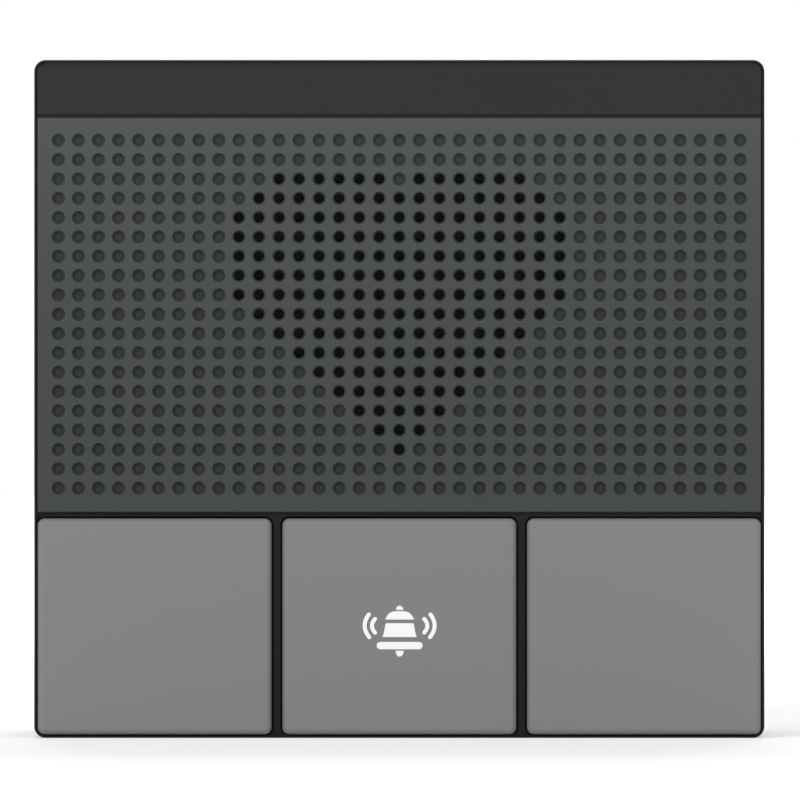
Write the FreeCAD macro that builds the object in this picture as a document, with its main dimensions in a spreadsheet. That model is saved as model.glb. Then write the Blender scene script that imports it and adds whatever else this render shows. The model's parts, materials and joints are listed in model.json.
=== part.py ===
import FreeCAD, Part
import math
import operator
import os
from types import SimpleNamespace

import Sketcher

# A wall intercom with a heart of open holes in its speaker grille and three push keys.
# +Z is up, +X is to the right of someone facing it, and it looks along -Y.
# The wall is the plane y = 0, so every depth below is a distance from the wall, at y = -depth.
# x = 0 and z = 0 are the middle of the front housing.

# Driving dimensions in millimetres: name, value, what it measures.
SIZES = (
    ("body_width", 95.0, "front housing, left to right"),
    ("body_height", 88.2, "front housing, bottom to top"),
    ("corner_radius", 1.5, "corners of the front housing"),
    ("parting_depth", 12.0, "joint between rear cover and front housing"),
    ("rim_depth", 32.6, "front of the housing's rim"),
    ("rim_chamfer", 0.2, "outer edge of the rim"),
    ("side_wall", 2.0, "side walls of the front housing"),
    ("front_wall", 1.6, "housing wall behind the grille"),
    ("lip_width", 0.3, "rim seen round the inlaid panels"),
    ("panel_gap", 0.1, "play round an inlaid panel"),
    ("trim_height", 6.75, "top trim, bottom to top"),
    ("panel_groove", 0.35, "shadow groove between trim and grille"),
    ("grille_thickness", 1.5, "grille panel"),
    ("grille_proud", 0.1, "grille panel in front of the rim"),
    ("grille_chamfer", 0.2, "front edge of the grille panel"),
    ("hole_columns", 35, "columns of the hole grid"),
    ("hole_rows", 19, "rows of the hole grid"),
    ("hole_edge_x", 2.76, "panel edge to the first column"),
    ("hole_edge_z", 2.95, "panel edge to the first row"),
    ("hole_diameter", 1.6, "grille hole"),
    ("window_margin", 1.1, "outermost hole centre to the edge of the window behind it"),
    ("key_height", 28.1, "key cap, bottom to top"),
    ("key_spacing", 1.4, "key cap to key cap"),
    ("key_rim_gap", 0.15, "key cap to the rim"),
    ("key_rib_gap", 0.25, "key cap to the ribs between the caps"),
    ("key_bar", 1.0, "key caps to the grille panel"),
    ("key_corner", 0.9, "corners of a key cap"),
    ("key_chamfer", 0.4, "front edge of a key cap"),
    ("key_plate", 2.0, "front plate of a key cap"),
    ("key_proud", 0.6, "key caps in front of the rim"),
    ("key_travel", 0.5, "full press of a key"),
    ("key_overtravel", 0.3, "room left under a pressed key"),
    ("key_wall", 2.0, "housing wall behind the key caps"),
    ("rib_drop", 0.7, "rim to the ribs between the caps"),
    ("skirt_inset", 3.0, "edge of a key cap to its skirt"),
    ("skirt_wall", 1.2, "skirt of a key cap"),
    ("skirt_length", 4.2, "skirt behind the front plate"),
    ("window_gap", 0.3, "skirt to its window in the housing"),
    ("hook_gap", 0.1, "snap hook to the housing wall it stops on"),
    ("hook_reach", 0.9, "snap hook beyond the skirt"),
    ("hook_width", 8.0, "snap hook, left to right"),
    ("post_radius", 2.5, "post in the middle of a key cap"),
    ("guide_width", 14.0, "light guide behind the call key's sign"),
    ("guide_height", 10.0, "light guide, bottom to top"),
    ("guide_thickness", 1.0, "light guide"),
    ("guide_recess", 0.6, "how far the light guide is let into the cap"),
    ("guide_play", 0.1, "light guide to the cap"),
    ("key_board_drop", 12.0, "rim to the front face of the key board"),
    ("key_board_thickness", 1.2, "key board"),
    ("key_board_end", 6.7, "middle of an outer key to the end of the key board"),
    ("key_board_rise", 12.0, "middle of the keys to the top edge of the key board"),
    ("key_board_fall", 7.8, "middle of the keys to the bottom edge of the key board"),
    ("key_screw_rise", 7.5, "middle of the keys to the upper key-board screws"),
    ("switch_side", 6.0, "tact switch, each side"),
    ("switch_height", 3.5, "tact switch above its board"),
    ("plunger_radius", 1.75, "plunger of a tact switch"),
    ("plunger_stand", 0.8, "plunger in front of its switch at rest"),
    ("plunger_sunk", 0.9, "plunger inside its switch at rest"),
    ("plunger_play", 0.1, "plunger to the bore of its switch"),
    ("membrane_sheet", 0.8, "sheet of the silicone keypad"),
    ("dome_wall", 0.6, "top of a silicone dome"),
    ("dome_radius", 5.5, "silicone dome"),
    ("dome_side", 0.7, "side of a silicone dome"),
    ("hole_play", 0.4, "board and membrane edges to the bosses they pass"),
    ("led_width", 3.2, "light-emitting diode, left to right"),
    ("led_height", 1.6, "light-emitting diode, bottom to top"),
    ("led_stand", 1.8, "light-emitting diode above its board"),
    ("led_offset", 8.0, "middle of the call key to each diode"),
    ("flange_lap", 1.25, "furthest corner of the heart's window to the rim of the loudspeaker"),
    ("speaker_row", 7, "grille row, from the top, that the loudspeaker is centred on"),
    ("speaker_depth", 11.6, "loudspeaker from the flange's face to the magnet's back"),
    ("flange_thickness", 1.0, "flange of the loudspeaker basket"),
    ("magnet_radius", 13.0, "magnet of the loudspeaker"),
    ("magnet_height", 3.8, "magnet of the loudspeaker"),
    ("magnet_ledge", 1.5, "floor of the basket beyond the magnet"),
    ("flange_width", 3.0, "flange of the basket, measured inwards"),
    ("basket_window", 8.0, "windows in the basket"),
    ("cone_play", 0.6, "cone to the basket"),
    ("cone_inset", 2.4, "rim of the loudspeaker to the glued edge of the cone"),
    ("cap_radius", 8.0, "dust cap"),
    ("cap_height", 1.8, "dust cap"),
    ("basket_wall", 0.8, "basket of the loudspeaker"),
    ("paper", 0.3, "loudspeaker cone"),
    ("mesh_thickness", 0.3, "acoustic mesh behind the window"),
    ("mesh_lap", 0.3, "furthest corner of the heart's window to the edge of the acoustic mesh"),
    ("foam_thickness", 1.0, "foam ring in front of the loudspeaker"),
    ("foam_width", 1.4, "foam ring"),
    ("speaker_boss_gap", 0.1, "flange to the screw bosses"),
    ("speaker_top_gap", 0.9, "least room between the loudspeaker and the top wall"),
    ("boss_radius", 2.5, "small screw boss"),
    ("washer_radius", 4.5, "washer that holds the flange"),
    ("washer_thickness", 0.8, "washer that holds the flange"),
    ("screw_radius", 1.0, "small screw"),
    ("screw_play", 0.1, "small screw to its pilot hole"),
    ("screw_pass", 0.25, "screw to a hole it passes through"),
    ("screw_head_radius", 2.0, "head of a small screw"),
    ("screw_head_height", 1.3, "head of a small screw"),
    ("screw_bite", 4.4, "small screw in its boss"),
    ("case_screw_radius", 1.4, "case screw"),
    ("case_head_radius", 2.5, "head of a case screw"),
    ("case_head_height", 1.8, "head of a case screw"),
    ("case_head_seat", 6.0, "seat of the case screws' heads"),
    ("case_screw_bite", 7.0, "case screw in the front housing"),
    ("case_boss_radius", 3.0, "case-screw boss of the front housing"),
    ("case_boss_drop", 2.0, "parting joint to the case-screw bosses of the front housing"),
    ("cover_boss_radius", 3.5, "case-screw boss of the rear cover"),
    ("boss_gap", 0.1, "bosses of the rear cover to those of the front housing"),
    ("case_boss_inset", 5.6, "side of the front housing to a case screw"),
    ("cover_step", 0.5, "rear cover inside the outline of the front housing"),
    ("cover_side", 2.5, "side walls of the rear cover"),
    ("cover_wall", 2.0, "back wall of the rear cover"),
    ("cover_corner", 1.2, "corners of the rear cover"),
    ("wall_gap", 0.4, "rear cover to the wall"),
    ("tongue_height", 1.4, "tongue of the rear cover inside the front housing"),
    ("tongue_gap", 0.1, "tongue to the front housing"),
    ("gasket_width", 0.6, "gasket between cover and housing"),
    ("gasket_depth", 0.8, "gasket between cover and housing"),
    ("gasket_inset", 0.8, "outside of the rear cover to the middle of the gasket"),
    ("groove_play", 0.1, "gasket to its groove"),
    ("bracket_thickness", 1.5, "steel of the wall bracket"),
    ("bracket_side", 5.0, "wall-screw slot to the side of the bracket"),
    ("bracket_margin", 8.5, "top and bottom of the front housing to the bracket's edges"),
    ("bracket_corner", 3.0, "clipped corners of the wall bracket"),
    ("bracket_play", 0.5, "bracket to the recess of the rear cover"),
    ("seal_thickness", 0.5, "foam seal between bracket and cover"),
    ("seal_width", 3.0, "foam seal round the connector bay"),
    ("screw_pitch", 60.0, "wall-box screws, left to right"),
    ("slot_length", 8.0, "wall-screw slot, end to end"),
    ("slot_radius", 2.1, "half the width of a wall-screw slot"),
    ("relief_half_width", 6.0, "room for a wall screw's head, half its width"),
    ("relief_half_height", 4.2, "room for a wall screw's head, half its height"),
    ("relief_depth", 5.2, "room for a wall screw's head, from the wall"),
    ("relief_wall", 1.4, "walls round a relief"),
    ("catch_offset", 24.0, "middle of the bracket to each hook"),
    ("catch_width", 8.0, "hook of the bracket, left to right"),
    ("catch_drop", 6.0, "top of the bracket to the underside of the hooks"),
    ("catch_lip", 3.0, "upturned end of a hook"),
    ("catch_play", 0.3, "hook to the rear cover"),
    ("lift", 3.4, "how far the unit is lifted to hang it"),
    ("tab_width", 12.0, "lock tab of the bracket, left to right"),
    ("tab_reach", 7.5, "end of the lock tab, from the wall"),
    ("lock_depth", 4.9, "axis of the lock screw, from the wall"),
    ("lock_screw_radius", 1.4, "lock screw"),
    ("lock_head_radius", 2.7, "head of the lock screw"),
    ("lock_head_height", 1.6, "head of the lock screw"),
    ("bay_half_width", 22.0, "connector bay, half its width"),
    ("bay_half_height", 19.0, "connector bay, half its height"),
    ("bay_depth", 9.0, "floor of the connector bay, from the wall"),
    ("bay_wall", 1.5, "walls of the connector bay"),
    ("bay_play", 0.3, "connectors to their cut-outs in the bay floor"),
    ("board_depth", 14.0, "back face of the main board"),
    ("board_thickness", 1.6, "main board"),
    ("board_side_gap", 6.5, "side walls of the rear cover to the main board"),
    ("board_top_gap", 2.6, "top wall of the rear cover to the main board"),
    ("board_bottom_gap", 6.3, "bottom wall of the rear cover to the main board"),
    ("standoff_inset", 4.0, "edges of the main board to its screws"),
    ("header_width", 12.7, "connector between the boards, left to right"),
    ("header_height", 5.0, "connector between the boards, bottom to top"),
    ("header_rise", 5.1, "middle of the keys to the middle of the connector"),
    ("jack_half_width", 8.1, "network socket, half its width"),
    ("jack_bottom", 1.5, "underside of the network socket"),
    ("jack_height", 15.5, "network socket, bottom to top"),
    ("jack_length", 11.5, "network socket behind the main board"),
    ("plug_half_width", 5.9, "opening of the network socket, half its width"),
    ("plug_height", 7.0, "opening of the network socket"),
    ("plug_depth", 9.2, "opening of the network socket"),
    ("plug_sill", 5.2, "underside of the socket to its opening"),
    ("latch_half_width", 3.2, "latch slot of the network socket, half its width"),
    ("latch_height", 2.4, "latch slot of the network socket"),
    ("terminal_pitch", 3.5, "terminal to terminal"),
    ("terminal_cheek", 0.5, "end walls of the terminal block"),
    ("terminal_ways", 8, "terminals in the block"),
    ("terminal_height", 8.4, "terminal block, bottom to top"),
    ("terminal_length", 9.0, "terminal block behind the main board"),
    ("terminal_top", -5.6, "top of the terminal block"),
    ("wire_hole", 2.4, "wire entry, each side"),
    ("wire_depth", 6.0, "wire entry"),
    ("boot_gap", 0.6, "tongue of the rear cover to the microphone's boot"),
    ("mic_radius", 1.95, "microphone"),
    ("mic_height", 1.5, "microphone"),
    ("boot_radius", 3.2, "rubber boot of the microphone"),
    ("boot_height", 3.8, "rubber boot of the microphone"),
    ("boot_sole", 1.5, "boot between housing and microphone"),
    ("boot_play", 0.05, "microphone to its boot"),
    ("port_radius", 0.75, "sound port under the microphone"),
)

# Pieces on the main board: name, middle across, middle up, width, height, and how far it stands out.
BOARD_PIECES = (
    ("processor", 14.0, -26.0, 12.0, 12.0, 1.4),
    ("memory", 27.0, -23.5, 8.0, 7.0, 1.2),
    ("codec", 27.0, -11.0, 6.0, 6.0, 1.0),
    ("transformer", 29.75, 14.35, 9.5, 12.7, 2.4),
    ("shield_can", -18.0, -24.0, 20.0, 16.0, 2.0),
    ("speaker_plug", -31.0, -3.5, 6.0, 5.0, 4.5),
    ("door_relay", -30.75, -19.0, 10.5, 16.0, 8.5),
    ("capacitor", 30.0, -18.0, 6.3, 8.0, 7.7),
)
PIECE_SIZES = ("x", "z", "width", "height", "stand")

doc = FreeCAD.newDocument("wall_intercom")
sheet = doc.addObject("Spreadsheet::Sheet", "Sizes")
PARTS = []

WORKINGS = {
    "+": operator.add,
    "-": operator.sub,
    "*": operator.mul,
    "/": operator.truediv,
}


class Dim:
    # A length that keeps both its number and the formula that ties it to the sheet.
    def __init__(self, formula, number):
        self.formula = formula
        self.number = number

    @staticmethod
    def of(value):
        if isinstance(value, Dim):
            return value
        return Dim("(%r)" % float(value), float(value))

    @staticmethod
    def join(left, sign, right):
        left = Dim.of(left)
        right = Dim.of(right)
        number = WORKINGS[sign](left.number, right.number)
        return Dim("(%s %s %s)" % (left.formula, sign, right.formula), number)

    def __add__(self, other):
        return Dim.join(self, "+", other)

    def __radd__(self, other):
        return Dim.join(other, "+", self)

    def __sub__(self, other):
        return Dim.join(self, "-", other)

    def __rsub__(self, other):
        return Dim.join(other, "-", self)

    def __mul__(self, other):
        return Dim.join(self, "*", other)

    def __rmul__(self, other):
        return Dim.join(other, "*", self)

    def __truediv__(self, other):
        return Dim.join(self, "/", other)

    def __neg__(self):
        return Dim.join(0.0, "-", self)


def reach(across, up):
    # Distance of a point from the middle.
    number = math.hypot(across.number, up.number)
    return Dim("sqrt(%s ^ 2 + %s ^ 2)" % (across.formula, up.formula), number)


def longest(*lengths):
    formulas = [length.formula for length in lengths]
    return Dim("max(%s)" % "; ".join(formulas), max(length.number for length in lengths))


def shortest(*lengths):
    formulas = [length.formula for length in lengths]
    return Dim("min(%s)" % "; ".join(formulas), min(length.number for length in lengths))


def fill_sheet():
    rows = list(SIZES)
    for name, *values in BOARD_PIECES:
        for kind, value in zip(PIECE_SIZES, values):
            rows.append(("%s_%s" % (name, kind), value, "piece on the main board"))
    named = {}
    for row, (alias, value, meaning) in enumerate(rows, 1):
        sheet.set("A%d" % row, alias)
        sheet.set("B%d" % row, str(value))
        sheet.set("C%d" % row, meaning)
        sheet.setAlias("B%d" % row, alias)
        named[alias] = Dim("Sizes." + alias, float(value))
    doc.recompute()
    return SimpleNamespace(**named)


size = fill_sheet()


def bind(thing, **values):
    # Ties properties such as Length or Placement_Base_x to formulas.
    for name, value in values.items():
        thing.setExpression(name.replace("_", "."), Dim.of(value).formula)


# Levels, as distances from the wall.
ZERO = Dim.of(0)
half_width = size.body_width / 2
half_height = size.body_height / 2
rim = size.rim_depth
seat = rim + size.grille_proud - size.grille_thickness
wall_back = seat - size.front_wall
key_front = rim + size.key_proud
key_back = key_front - size.key_plate
ledge = key_back - size.key_travel - size.key_overtravel
key_wall_back = ledge - size.key_wall
rib_front = rim - size.rib_drop
skirt_end = key_back - size.skirt_length
key_board_front = rim - size.key_board_drop
switch_front = key_board_front + size.switch_height
plunger_front = switch_front + size.plunger_stand
dome_front = plunger_front + size.dome_wall
key_board_back = key_board_front - size.key_board_thickness
case_boss_back = size.parting_depth + size.case_boss_drop
mic_depth = size.parting_depth + size.tongue_height + size.boot_gap + size.boot_radius
board_front = size.board_depth + size.board_thickness
cover_back = size.bracket_thickness + size.seal_thickness
cover_floor = cover_back + size.cover_wall
foam_front = wall_back - size.mesh_thickness
flange_front = foam_front - size.foam_thickness
flange_back = flange_front - size.flange_thickness
magnet_back = flange_front - size.speaker_depth
magnet_front = magnet_back + size.magnet_height

# The heart of open holes: its top row, its tip's row, and its widest rows' reach in columns.
HEART_TOP = 2
HEART_TIP = 16
HEART_REACH = 8
HEART_SHOULDER = 4

# The front, from the rim inwards.
inside_x = half_width - size.lip_width
inside_z = half_height - size.lip_width
cavity_x = half_width - size.side_wall
cavity_z = half_height - size.side_wall
key_width = (2 * inside_x - 2 * size.key_rim_gap - 2 * size.key_spacing) / 3
key_pitch = key_width + size.key_spacing
key_bottom = -inside_z + size.key_rim_gap
key_top = key_bottom + size.key_height
key_middle = key_bottom + size.key_height / 2
panel_x = inside_x - size.panel_gap
trim_top = inside_z - size.panel_gap
trim_bottom = trim_top - size.trim_height
grille_top = trim_bottom - size.panel_groove
grille_bottom = key_top + size.key_bar
pitch_x = 2 * (panel_x - size.hole_edge_x) / (size.hole_columns - 1)
pitch_z = (grille_top - grille_bottom - 2 * size.hole_edge_z) / (size.hole_rows - 1)
first_row = grille_top - size.hole_edge_z
speaker_z = first_row - size.speaker_row * pitch_z
between_keys = key_pitch / 2

# The window in the housing behind all of the open holes, from its cleft down to its tip.
margin = size.window_margin
heart_top = first_row - HEART_TOP * pitch_z + margin
heart_notch = heart_top - pitch_z
heart_shoulder = first_row - (HEART_REACH - HEART_SHOULDER) * pitch_z + margin
heart_waist = first_row - (HEART_TIP - HEART_REACH) * pitch_z - margin
heart_tip = first_row - HEART_TIP * pitch_z - margin
heart_widest = HEART_REACH * pitch_x + margin
heart_lobe = (HEART_TOP + HEART_SHOULDER) * pitch_x + margin
heart_cleft = pitch_x - margin
heart_radius = longest(
    reach(margin, heart_tip - speaker_z),
    reach(heart_widest, heart_waist - speaker_z),
    reach(heart_widest, heart_shoulder - speaker_z),
    reach(heart_lobe, heart_top - speaker_z),
)
# The loudspeaker covers the window as far as the top wall leaves it room.
speaker_radius = shortest(
    heart_radius + size.flange_lap,
    cavity_z - speaker_z - size.speaker_top_gap,
)
window_radius = speaker_radius - size.flange_lap
speaker_boss_reach = speaker_radius + size.speaker_boss_gap + size.boss_radius

# The back.
cover_x = half_width - size.cover_step
cover_z = half_height - size.cover_step
hollow_x = cover_x - size.cover_side
hollow_z = cover_z - size.cover_side
bracket_x = size.screw_pitch / 2 + size.slot_length / 2 + size.bracket_side
bracket_z = half_height - size.bracket_margin
catch_z = bracket_z - size.catch_drop
case_boss_top = half_height - size.case_boss_inset
board_x = hollow_x - size.board_side_gap
board_top = hollow_z - size.board_top_gap
board_bottom = -hollow_z + size.board_bottom_gap
key_board_x = key_pitch + size.key_board_end
key_board_top = key_middle + size.key_board_rise
key_board_bottom = key_middle - size.key_board_fall

# Round forms that repeat have flat sides: few on a fastener or boss, more on a dome or post,
# fewest on a grille hole.
SMALL_SIDES = 6
LARGE_SIDES = 16
HOLE_SIDES = 6
# The loudspeaker's round pieces, and how much further than a circle their corners reach.
SPEAKER_SIDES = 24
SQUARE_SIDES = 4
SPEAKER_SPREAD = 1 / math.cos(math.pi / SPEAKER_SIDES)
# How much further than the round hole the corners of a grille hole reach, for the same area.
HOLE_SPREAD = 1.1

CASE_SCREWS = (
    (-(half_width - size.case_boss_inset), case_boss_top),
    (half_width - size.case_boss_inset, case_boss_top),
    (-between_keys, -case_boss_top),
    (between_keys, -case_boss_top),
)
BOARD_SCREWS = (
    (-board_x + size.standoff_inset, board_top - size.standoff_inset),
    (board_x - size.standoff_inset, board_top - size.standoff_inset),
    (-board_x + size.standoff_inset, board_bottom + size.standoff_inset),
    (board_x - size.standoff_inset, board_bottom + size.standoff_inset),
)
KEY_SCREWS = (
    (-between_keys, key_middle + size.key_screw_rise),
    (between_keys, key_middle + size.key_screw_rise),
    (-between_keys, key_middle),
    (between_keys, key_middle),
)
SPEAKER_SCREW_ANGLES = (-135.0, -45.0, 45.0, 135.0)
KEYS = (("left", -1), ("call", 0), ("right", 1))


def polar(radius, degrees):
    angle = math.radians(degrees)
    return radius * math.cos(angle), radius * math.sin(angle)


SPEAKER_SCREWS = []
for turn in SPEAKER_SCREW_ANGLES:
    across, up = polar(speaker_boss_reach, turn)
    SPEAKER_SCREWS.append((across, speaker_z + up))


def heart_reach(row):
    # Columns of open holes on each side of the middle one in a row of the heart.
    return min(HEART_REACH, HEART_TIP - row, row + HEART_SHOULDER)


# Sketching.

def new_body(label):
    body = doc.addObject("PartDesign::Body", label)
    body.Label = label
    PARTS.append(body)
    return body


def plane_of(body, role):
    return [feature for feature in body.Origin.OriginFeatures if feature.Role == role][0]


def sketch_on(body, name, role, offset, *outlines):
    sketch = body.newObject("Sketcher::SketchObject", "%s_%s" % (body.Label, name))
    sketch.AttachmentSupport = [(plane_of(body, role), "")]
    sketch.MapMode = "FlatFace"
    sketch.setExpression("AttachmentOffset.Base.z", Dim.of(offset).formula)
    for outline in outlines:
        outline(sketch)
    return sketch


def tie(sketch, kind, places, value):
    # Adds a constraint on the sketch's geometry and ties its size to a formula.
    value = Dim.of(value)
    index = sketch.addConstraint(Sketcher.Constraint(kind, *places, value.number))
    sketch.setExpression("Constraints[%d]" % index, value.formula)


def tie_point(sketch, curve, end, x, z):
    tie(sketch, "DistanceX", (-1, 1, curve, end), x)
    tie(sketch, "DistanceY", (-1, 1, curve, end), z)


def vector(x, z):
    return FreeCAD.Vector(Dim.of(x).number, Dim.of(z).number, 0)


def path(*corners):
    # A closed outline. A corner is a point, or an arc's centre, radius, start angle and sweep.
    def draw(sketch):
        starts = []
        ends = []
        arcs = {}
        for index, corner in enumerate(corners):
            if len(corner) == 2:
                starts.append(vector(*corner))
                ends.append(vector(*corner))
                continue
            x, z, radius, start, sweep = corner
            whole = Part.Circle(vector(x, z), FreeCAD.Vector(0, 0, 1), Dim.of(radius).number)
            begin = math.radians(start)
            arc = Part.ArcOfCircle(whole, begin, begin + math.radians(sweep))
            starts.append(arc.StartPoint)
            ends.append(arc.EndPoint)
            arcs[index] = sketch.addGeometry(arc, False)
        count = len(corners)
        lines = []
        for index in range(count):
            line = Part.LineSegment(ends[index], starts[(index + 1) % count])
            lines.append(sketch.addGeometry(line, False))
        for index, corner in enumerate(corners):
            arriving = lines[index - 1]
            leaving = lines[index]
            if index in arcs:
                arc = arcs[index]
                sketch.addConstraint(Sketcher.Constraint("Tangent", arriving, 2, arc, 1))
                sketch.addConstraint(Sketcher.Constraint("Tangent", arc, 2, leaving, 1))
                tie_point(sketch, arc, 3, corner[0], corner[1])
                tie(sketch, "Radius", (arc,), corner[2])
            else:
                sketch.addConstraint(Sketcher.Constraint("Coincident", arriving, 2, leaving, 1))
                tie_point(sketch, leaving, 1, *corner)
    return draw


def box(x0, x1, z0, z1):
    return path((x0, z0), (x1, z0), (x1, z1), (x0, z1))


def clipped(across, up, corner):
    # A plate about the middle with its corners cut off.
    return path(
        (across - corner, -up),
        (across, -up + corner),
        (across, up - corner),
        (across - corner, up),
        (-across + corner, up),
        (-across, up - corner),
        (-across, -up + corner),
        (-across + corner, -up),
    )


def rounded(x0, x1, z0, z1, radius):
    return path(
        (x1 - radius, z0 + radius, radius, 270, 90),
        (x1 - radius, z1 - radius, radius, 0, 90),
        (x0 + radius, z1 - radius, radius, 90, 90),
        (x0 + radius, z0 + radius, radius, 180, 90),
    )


def rounded_top(x0, x1, z0, z1, radius):
    return path(
        (x0, z0),
        (x1, z0),
        (x1 - radius, z1 - radius, radius, 0, 90),
        (x0 + radius, z1 - radius, radius, 90, 90),
    )


def slot(x, z, length, radius):
    reach = length / 2 - radius
    return path(
        (x + reach, z, radius, 270, 180),
        (x - reach, z, radius, 90, 180),
    )


def many_sided(x, z, radius, sides=SMALL_SIDES):
    points = []
    for index in range(sides):
        across, up = polar(radius, 360.0 * (index + 0.5) / sides)
        points.append((x + across, z + up))
    return path(*points)


# Features of a body.

def add_slab(body, name, back, front, *outlines):
    sketch = sketch_on(body, name + "_outline", "XZ_Plane", back, *outlines)
    pad = body.newObject("PartDesign::Pad", "%s_%s" % (body.Label, name))
    pad.Profile = sketch
    bind(pad, Length=front - back)
    return pad


def cut_slab(body, name, front, back, *outlines):
    sketch = sketch_on(body, name + "_outline", "XZ_Plane", front, *outlines)
    pocket = body.newObject("PartDesign::Pocket", "%s_%s" % (body.Label, name))
    pocket.Profile = sketch
    bind(pocket, Length=front - back)
    return pocket


def bar_profile(body, name, kind, x0, x1, outline):
    # A solid or a cut whose outline is drawn from the side and that runs from x0 to x1.
    sketch = sketch_on(body, name + "_outline", "YZ_Plane", x0, outline)
    feature = body.newObject("PartDesign::" + kind, "%s_%s" % (body.Label, name))
    feature.Profile = sketch
    bind(feature, Length=x1 - x0)
    return feature


def along_depth(feature, x, z, back, front, radius, sides):
    # Turns a many-sided feature to face forwards, with a flat side at the bottom, and places it.
    half_side = FreeCAD.Rotation(FreeCAD.Vector(0, 0, 1), 180.0 / sides)
    forwards = FreeCAD.Rotation(FreeCAD.Vector(1, 0, 0), 90)
    feature.Placement = FreeCAD.Placement(FreeCAD.Vector(), forwards * half_side)
    feature.Polygon = sides
    bind(feature, Circumradius=radius, Height=front - back, Placement_Base_x=x,
         Placement_Base_y=-Dim.of(back), Placement_Base_z=z)
    return feature


def body_rod(body, name, kind, x, z, back, front, radius, sides=SMALL_SIDES):
    feature = body.newObject("PartDesign::%sPrism" % kind, "%s_%s" % (body.Label, name))
    return along_depth(feature, x, z, back, front, radius, sides)


def body_upright(body, name, kind, depth, bottom, top, radius):
    # A standing rod in the middle of the body.
    feature = body.newObject("PartDesign::%sPrism" % kind, "%s_%s" % (body.Label, name))
    feature.Polygon = SMALL_SIDES
    bind(feature, Circumradius=radius, Height=top - bottom)
    bind(feature, Placement_Base_y=-Dim.of(depth), Placement_Base_z=bottom)
    return feature


def body_box(body, name, kind, x0, x1, z0, z1, back, front):
    feature = body.newObject("PartDesign::%sBox" % kind, "%s_%s" % (body.Label, name))
    return place_box(feature, x0, x1, z0, z1, back, front)


def place_box(feature, x0, x1, z0, z1, back, front):
    bind(feature, Length=x1 - x0, Width=front - back, Height=z1 - z0)
    bind(feature, Placement_Base_x=x0, Placement_Base_y=-Dim.of(front), Placement_Base_z=z0)
    return feature


def chamfer(body, name, base, depth, value):
    # Breaks the edges of a slab's outline at one depth.
    doc.recompute()
    edges = []
    for index, edge in enumerate(base.Shape.Edges, 1):
        bounds = edge.BoundBox
        if abs(bounds.YMin + depth.number) < 1e-5 and abs(bounds.YMax + depth.number) < 1e-5:
            edges.append("Edge%d" % index)
    feature = body.newObject("PartDesign::Chamfer", "%s_%s" % (body.Label, name))
    feature.Base = (base, edges)
    bind(feature, Size=value)


# Plain solids, for small bought-in pieces.

def rod(name, x, z, back, front, radius, sides=SMALL_SIDES):
    return along_depth(doc.addObject("Part::Prism", name), x, z, back, front, radius, sides)


def block(name, x0, x1, z0, z1, back, front):
    return place_box(doc.addObject("Part::Box", name), x0, x1, z0, z1, back, front)


def keep(feature, label):
    feature.Label = label
    PARTS.append(feature)
    return feature


def difference(label, base, tool):
    cut = doc.addObject("Part::Cut", label)
    cut.Base = base
    cut.Tool = tool
    return cut


def joined(label, base, tool):
    fuse = doc.addObject("Part::Fuse", label)
    fuse.Base = base
    fuse.Tool = tool
    return fuse


def group(label, pieces):
    together = doc.addObject("Part::Compound", label)
    together.Links = pieces
    return keep(together, label)


def screw(name, x, z, head_back, head_front, tip, shank_radius, head_radius, towards_front=True):
    # One pan-head screw along the depth, its shank in front of the head or behind it.
    head = rod(name + "_head", x, z, head_back, head_front, head_radius)
    if towards_front:
        shank = rod(name + "_shank", x, z, head_front, tip, shank_radius)
    else:
        shank = rod(name + "_shank", x, z, tip, head_back, shank_radius)
    return joined(name, head, shank)


# The pieces.

def wall_bracket():
    body = new_body("wall_bracket")
    steel = size.bracket_thickness
    holes = [
        clipped(bracket_x, bracket_z, size.bracket_corner),
        box(-size.bay_half_width, size.bay_half_width, -size.bay_half_height, size.bay_half_height),
    ]
    for side in (-1, 1):
        holes.append(slot(side * size.screw_pitch / 2, ZERO, size.slot_length, size.slot_radius))
    for side in (-1, 1):
        middle = side * size.catch_offset
        reach = size.catch_width / 2
        # The window that a hook was punched out of.
        holes.append(box(middle - reach, middle + reach, catch_z - size.catch_lip - steel, catch_z))
    add_slab(body, "sheet", ZERO, steel, *holes)
    lip_back = cover_floor + size.catch_play
    lip_front = lip_back + steel
    hook = path(
        (ZERO, catch_z),
        (ZERO, catch_z + steel),
        (-lip_back, catch_z + steel),
        (-lip_back, catch_z + steel + size.catch_lip),
        (-lip_front, catch_z + steel + size.catch_lip),
        (-lip_front, catch_z),
    )
    for name, side in (("left", -1), ("right", 1)):
        start = side * size.catch_offset - size.catch_width / 2
        bar_profile(body, "hook_" + name, "Pad", start, start + size.catch_width, hook)
    reach = size.tab_width / 2
    body_box(body, "lock_tab", "Additive", -reach, reach, -bracket_z, -bracket_z + steel,
             ZERO, size.tab_reach)
    body_upright(body, "lock_thread", "Subtractive", size.lock_depth, -bracket_z - steel,
                 -bracket_z + 2 * steel, size.lock_screw_radius + size.screw_play)


def rear_cover():
    body = new_body("rear_cover")
    parting = size.parting_depth
    add_slab(body, "block", size.wall_gap, parting,
             rounded(-cover_x, cover_x, -cover_z, cover_z, size.cover_corner))
    cut_slab(body, "hollow", parting, cover_floor, box(-hollow_x, hollow_x, -hollow_z, hollow_z))
    play = size.bracket_play
    cut_slab(body, "bracket_recess", cover_back, size.wall_gap,
             box(-bracket_x - play, bracket_x + play, -bracket_z - play, bracket_z + play))
    add_tongue_and_groove(body)
    add_case_bosses(body)
    add_standoffs(body)
    add_screw_reliefs(body)
    add_hook_pockets(body)
    add_lock_pocket(body)
    add_connector_bay(body)


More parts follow.
